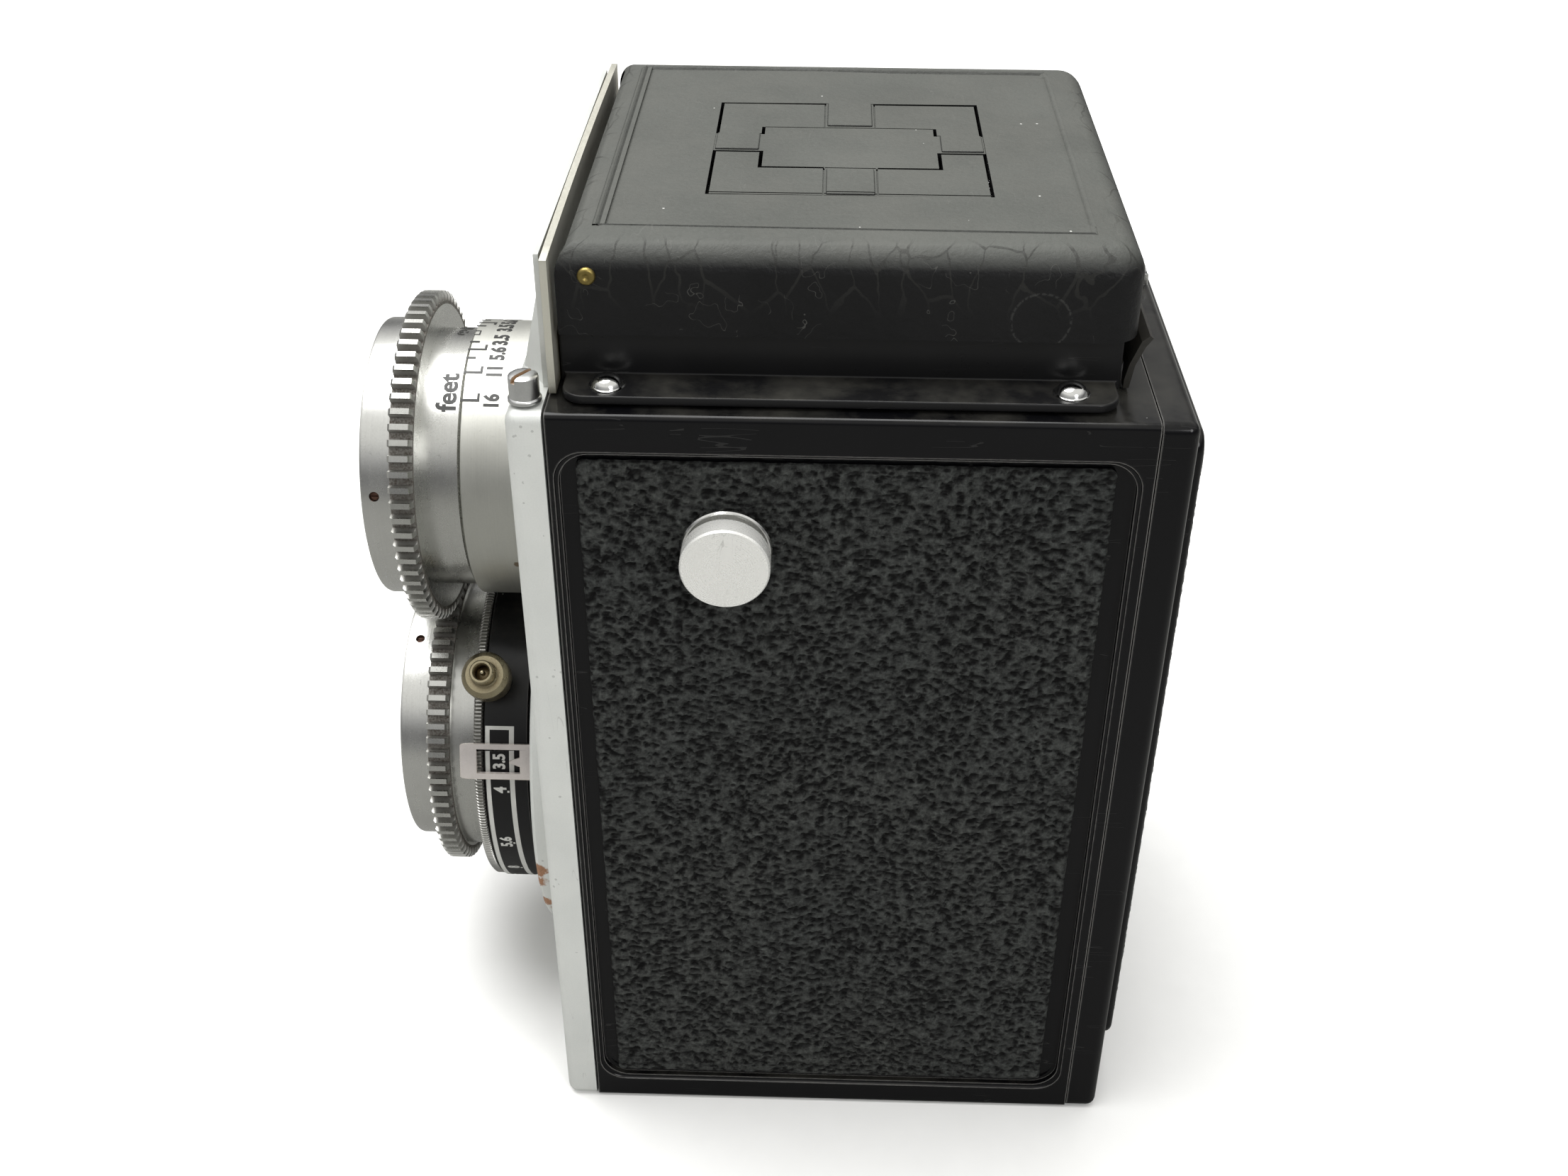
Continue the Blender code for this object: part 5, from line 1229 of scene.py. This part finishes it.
door_hide = hide_panel("hide_door", (60.6, 90.2), 2.0, 0.3, 0.42, 0.55)
turn = Matrix(((-1, 0, 0), (0, 0, 1), (0, 1, 0))).to_4x4()
door_hide.data.transform(Matrix.Translation((0, 38.72 * MM, 56.0 * MM)) @ turn)
combine(door_hide, turned("hole", [(0, 50), (4.4, 50), (4.4, 30), (0, 30)], WINDOW, REARWARD, 64),
        "DIFFERENCE")
settle(door_hide, hide, "back", "leather", "door_leather", angle=80)

look = Look("red_window_plastic", 0.12, Coat_Weight=0.5)
cloud = look.use(mottle, Broad=400.0, Fine=5000.0)
scratch = look.use(hairlines, Stretch=(1.0, 1.0, 0.3), Scale=900.0, Width=0.003)["mask"]
base = look.mix(cloud["both"], (0.16, 0.004, 0.003), (0.30, 0.010, 0.006))
base = look.mix(scratch * 0.5, base, (0.4, 0.1, 0.08))
red_glass = look.done(base, cloud["fine"] * 0.2 + 0.05, cloud["fine"], 0.1, 0.00002)
disc = turned("film_window", [(0, 38.5), (3.3, 38.5), (3.6, 38.3), (3.6, 37.7), (0, 37.7)], WINDOW,
              REARWARD, 64)
settle(disc, red_glass, "back", "red_plastic", "red_window", angle=50)

cover = turned("cover_plate", [(0, 1.65), (4.75, 1.65), (5.05, 1.5), (5.2, 1.3), (5.2, 1.05), (0, 1.05)],
               (0, 38.6, WINDOW[2]), REARWARD, 96)
arm = block("arm", (-5.2, 5.2), (39.65, 40.25), (27.0, 40.0))
edit(arm)
choose("verts", lambda v: centre(v).z > 30)
bpy.ops.transform.resize(value=(0.4, 1, 1), center_override=(0, 0, 0))
choose("edges", lambda e: centre(e).z > 39.9 and abs(e.verts[0].co.y - e.verts[1].co.y) > 0.3 * MM)
round_edges(1.6, 6)
leave()
combine(cover, arm, "UNION")
soften(cover, 0.12, 2, 40)
combine(cover, turned("cover_rivet", [(0, 1.72), (0.7, 1.7), (1.2, 1.66), (1.3, 1.5), (1.3, 1.2), (0, 1.2)],
                      (0, 38.6, 38.0), REARWARD, 48), "UNION")
settle(cover, chrome, "cover", "chrome", "window_cover")

catch = block("sliding_catch", (-7.0, 2.0), (33.2, 36.0), (107.55, 109.0))
edit(catch)
choose("faces", lambda f: f.normal.z > 0.9)
bpy.ops.mesh.subdivide(number_cuts=9)
for column in (-5.65, -4.75, -3.85, -2.95, -2.05, -1.15, -0.25, 0.65):
    choose("faces", lambda f: f.normal.z > 0.9 and abs(centre(f).x - column) < 0.2)
    push(z=-0.18 if round(column * 2) % 2 else 0.0)
leave()
soften(catch, 0.1, 2, 30)
settle(catch, chrome, "latch", "chrome", "back_latch")


# ------------------------------------------------------------------ tripod socket
# A brass bush for the screw of a tripod. It is turned from rod and pressed into the floor of the
# body from below.

tripod_socket = turned("tripod_socket", [(3.3, 0.05), (5.7, 0.05), (5.95, 0.2), (5.95, 3.0), (3.3, 3.0), (3.3, 0.05)],
                       (0, 12.0, 0), UPWARD, 64)
tripod_brass = cloudy("tripod_brass", (0.22, 0.17, 0.06), (0.42, 0.34, 0.15), 0.38, 1.0, scratched=0.3)
settle(tripod_socket, tripod_brass, "camera_body", "brass", "tripod_bush")


# ------------------------------------------------------------------ finishes inside the camera
# Parts kept as drawn in the CAD get their proper surfaces: matte blackened sheet inside the body,
# a silvered mirror, a ground screen, blued shutter blades and steel film rollers.

matte = cloudy("matte_inside", (0.006, 0.006, 0.006), (0.018, 0.018, 0.017), 0.75, scratched=0.3)
finish(matte, "mirror_frame", "film_carrier", "wing_left", "wing_right", "hood_rear_panel", "magnifier_frame")
finish(cloudy("silvered_glass", (0.80, 0.82, 0.83), (0.88, 0.89, 0.89), 0.12, 1.0, depth=0.000005, scratched=0.3),
       "mirror")
finish(cloudy("ground_screen", (0.62, 0.64, 0.62), (0.70, 0.72, 0.70), 0.6, scratched=0.3, Transmission_Weight=0.5),
       "focusing_screen")
finish(cloudy("clear_lens", (0.93, 0.95, 0.96), (0.98, 0.98, 0.98), 0.12, depth=0.000002, scratched=0.3,
              Transmission_Weight=1.0, IOR=1.52), "magnifier_lens", "taking_lens_rear")
finish(cloudy("blued_blades", (0.02, 0.022, 0.026), (0.05, 0.052, 0.058), 0.35, 0.8, scratched=0.3),
       "iris_diaphragm", "shutter_blade_1", "shutter_blade_2", "shutter_retaining_ring")
finish(cloudy("spring_steel", (0.26, 0.26, 0.255), (0.42, 0.42, 0.41), 0.36, 1.0, scratched=0.3), "pressure_plate",
       "pressure_spring", "door_hinge_pin", "film_roller_top", "film_roller_bottom")
finish(cloudy("spool_enamel", (0.01, 0.01, 0.01), (0.03, 0.03, 0.028), 0.4, scratched=0.3), "takeup_spool")
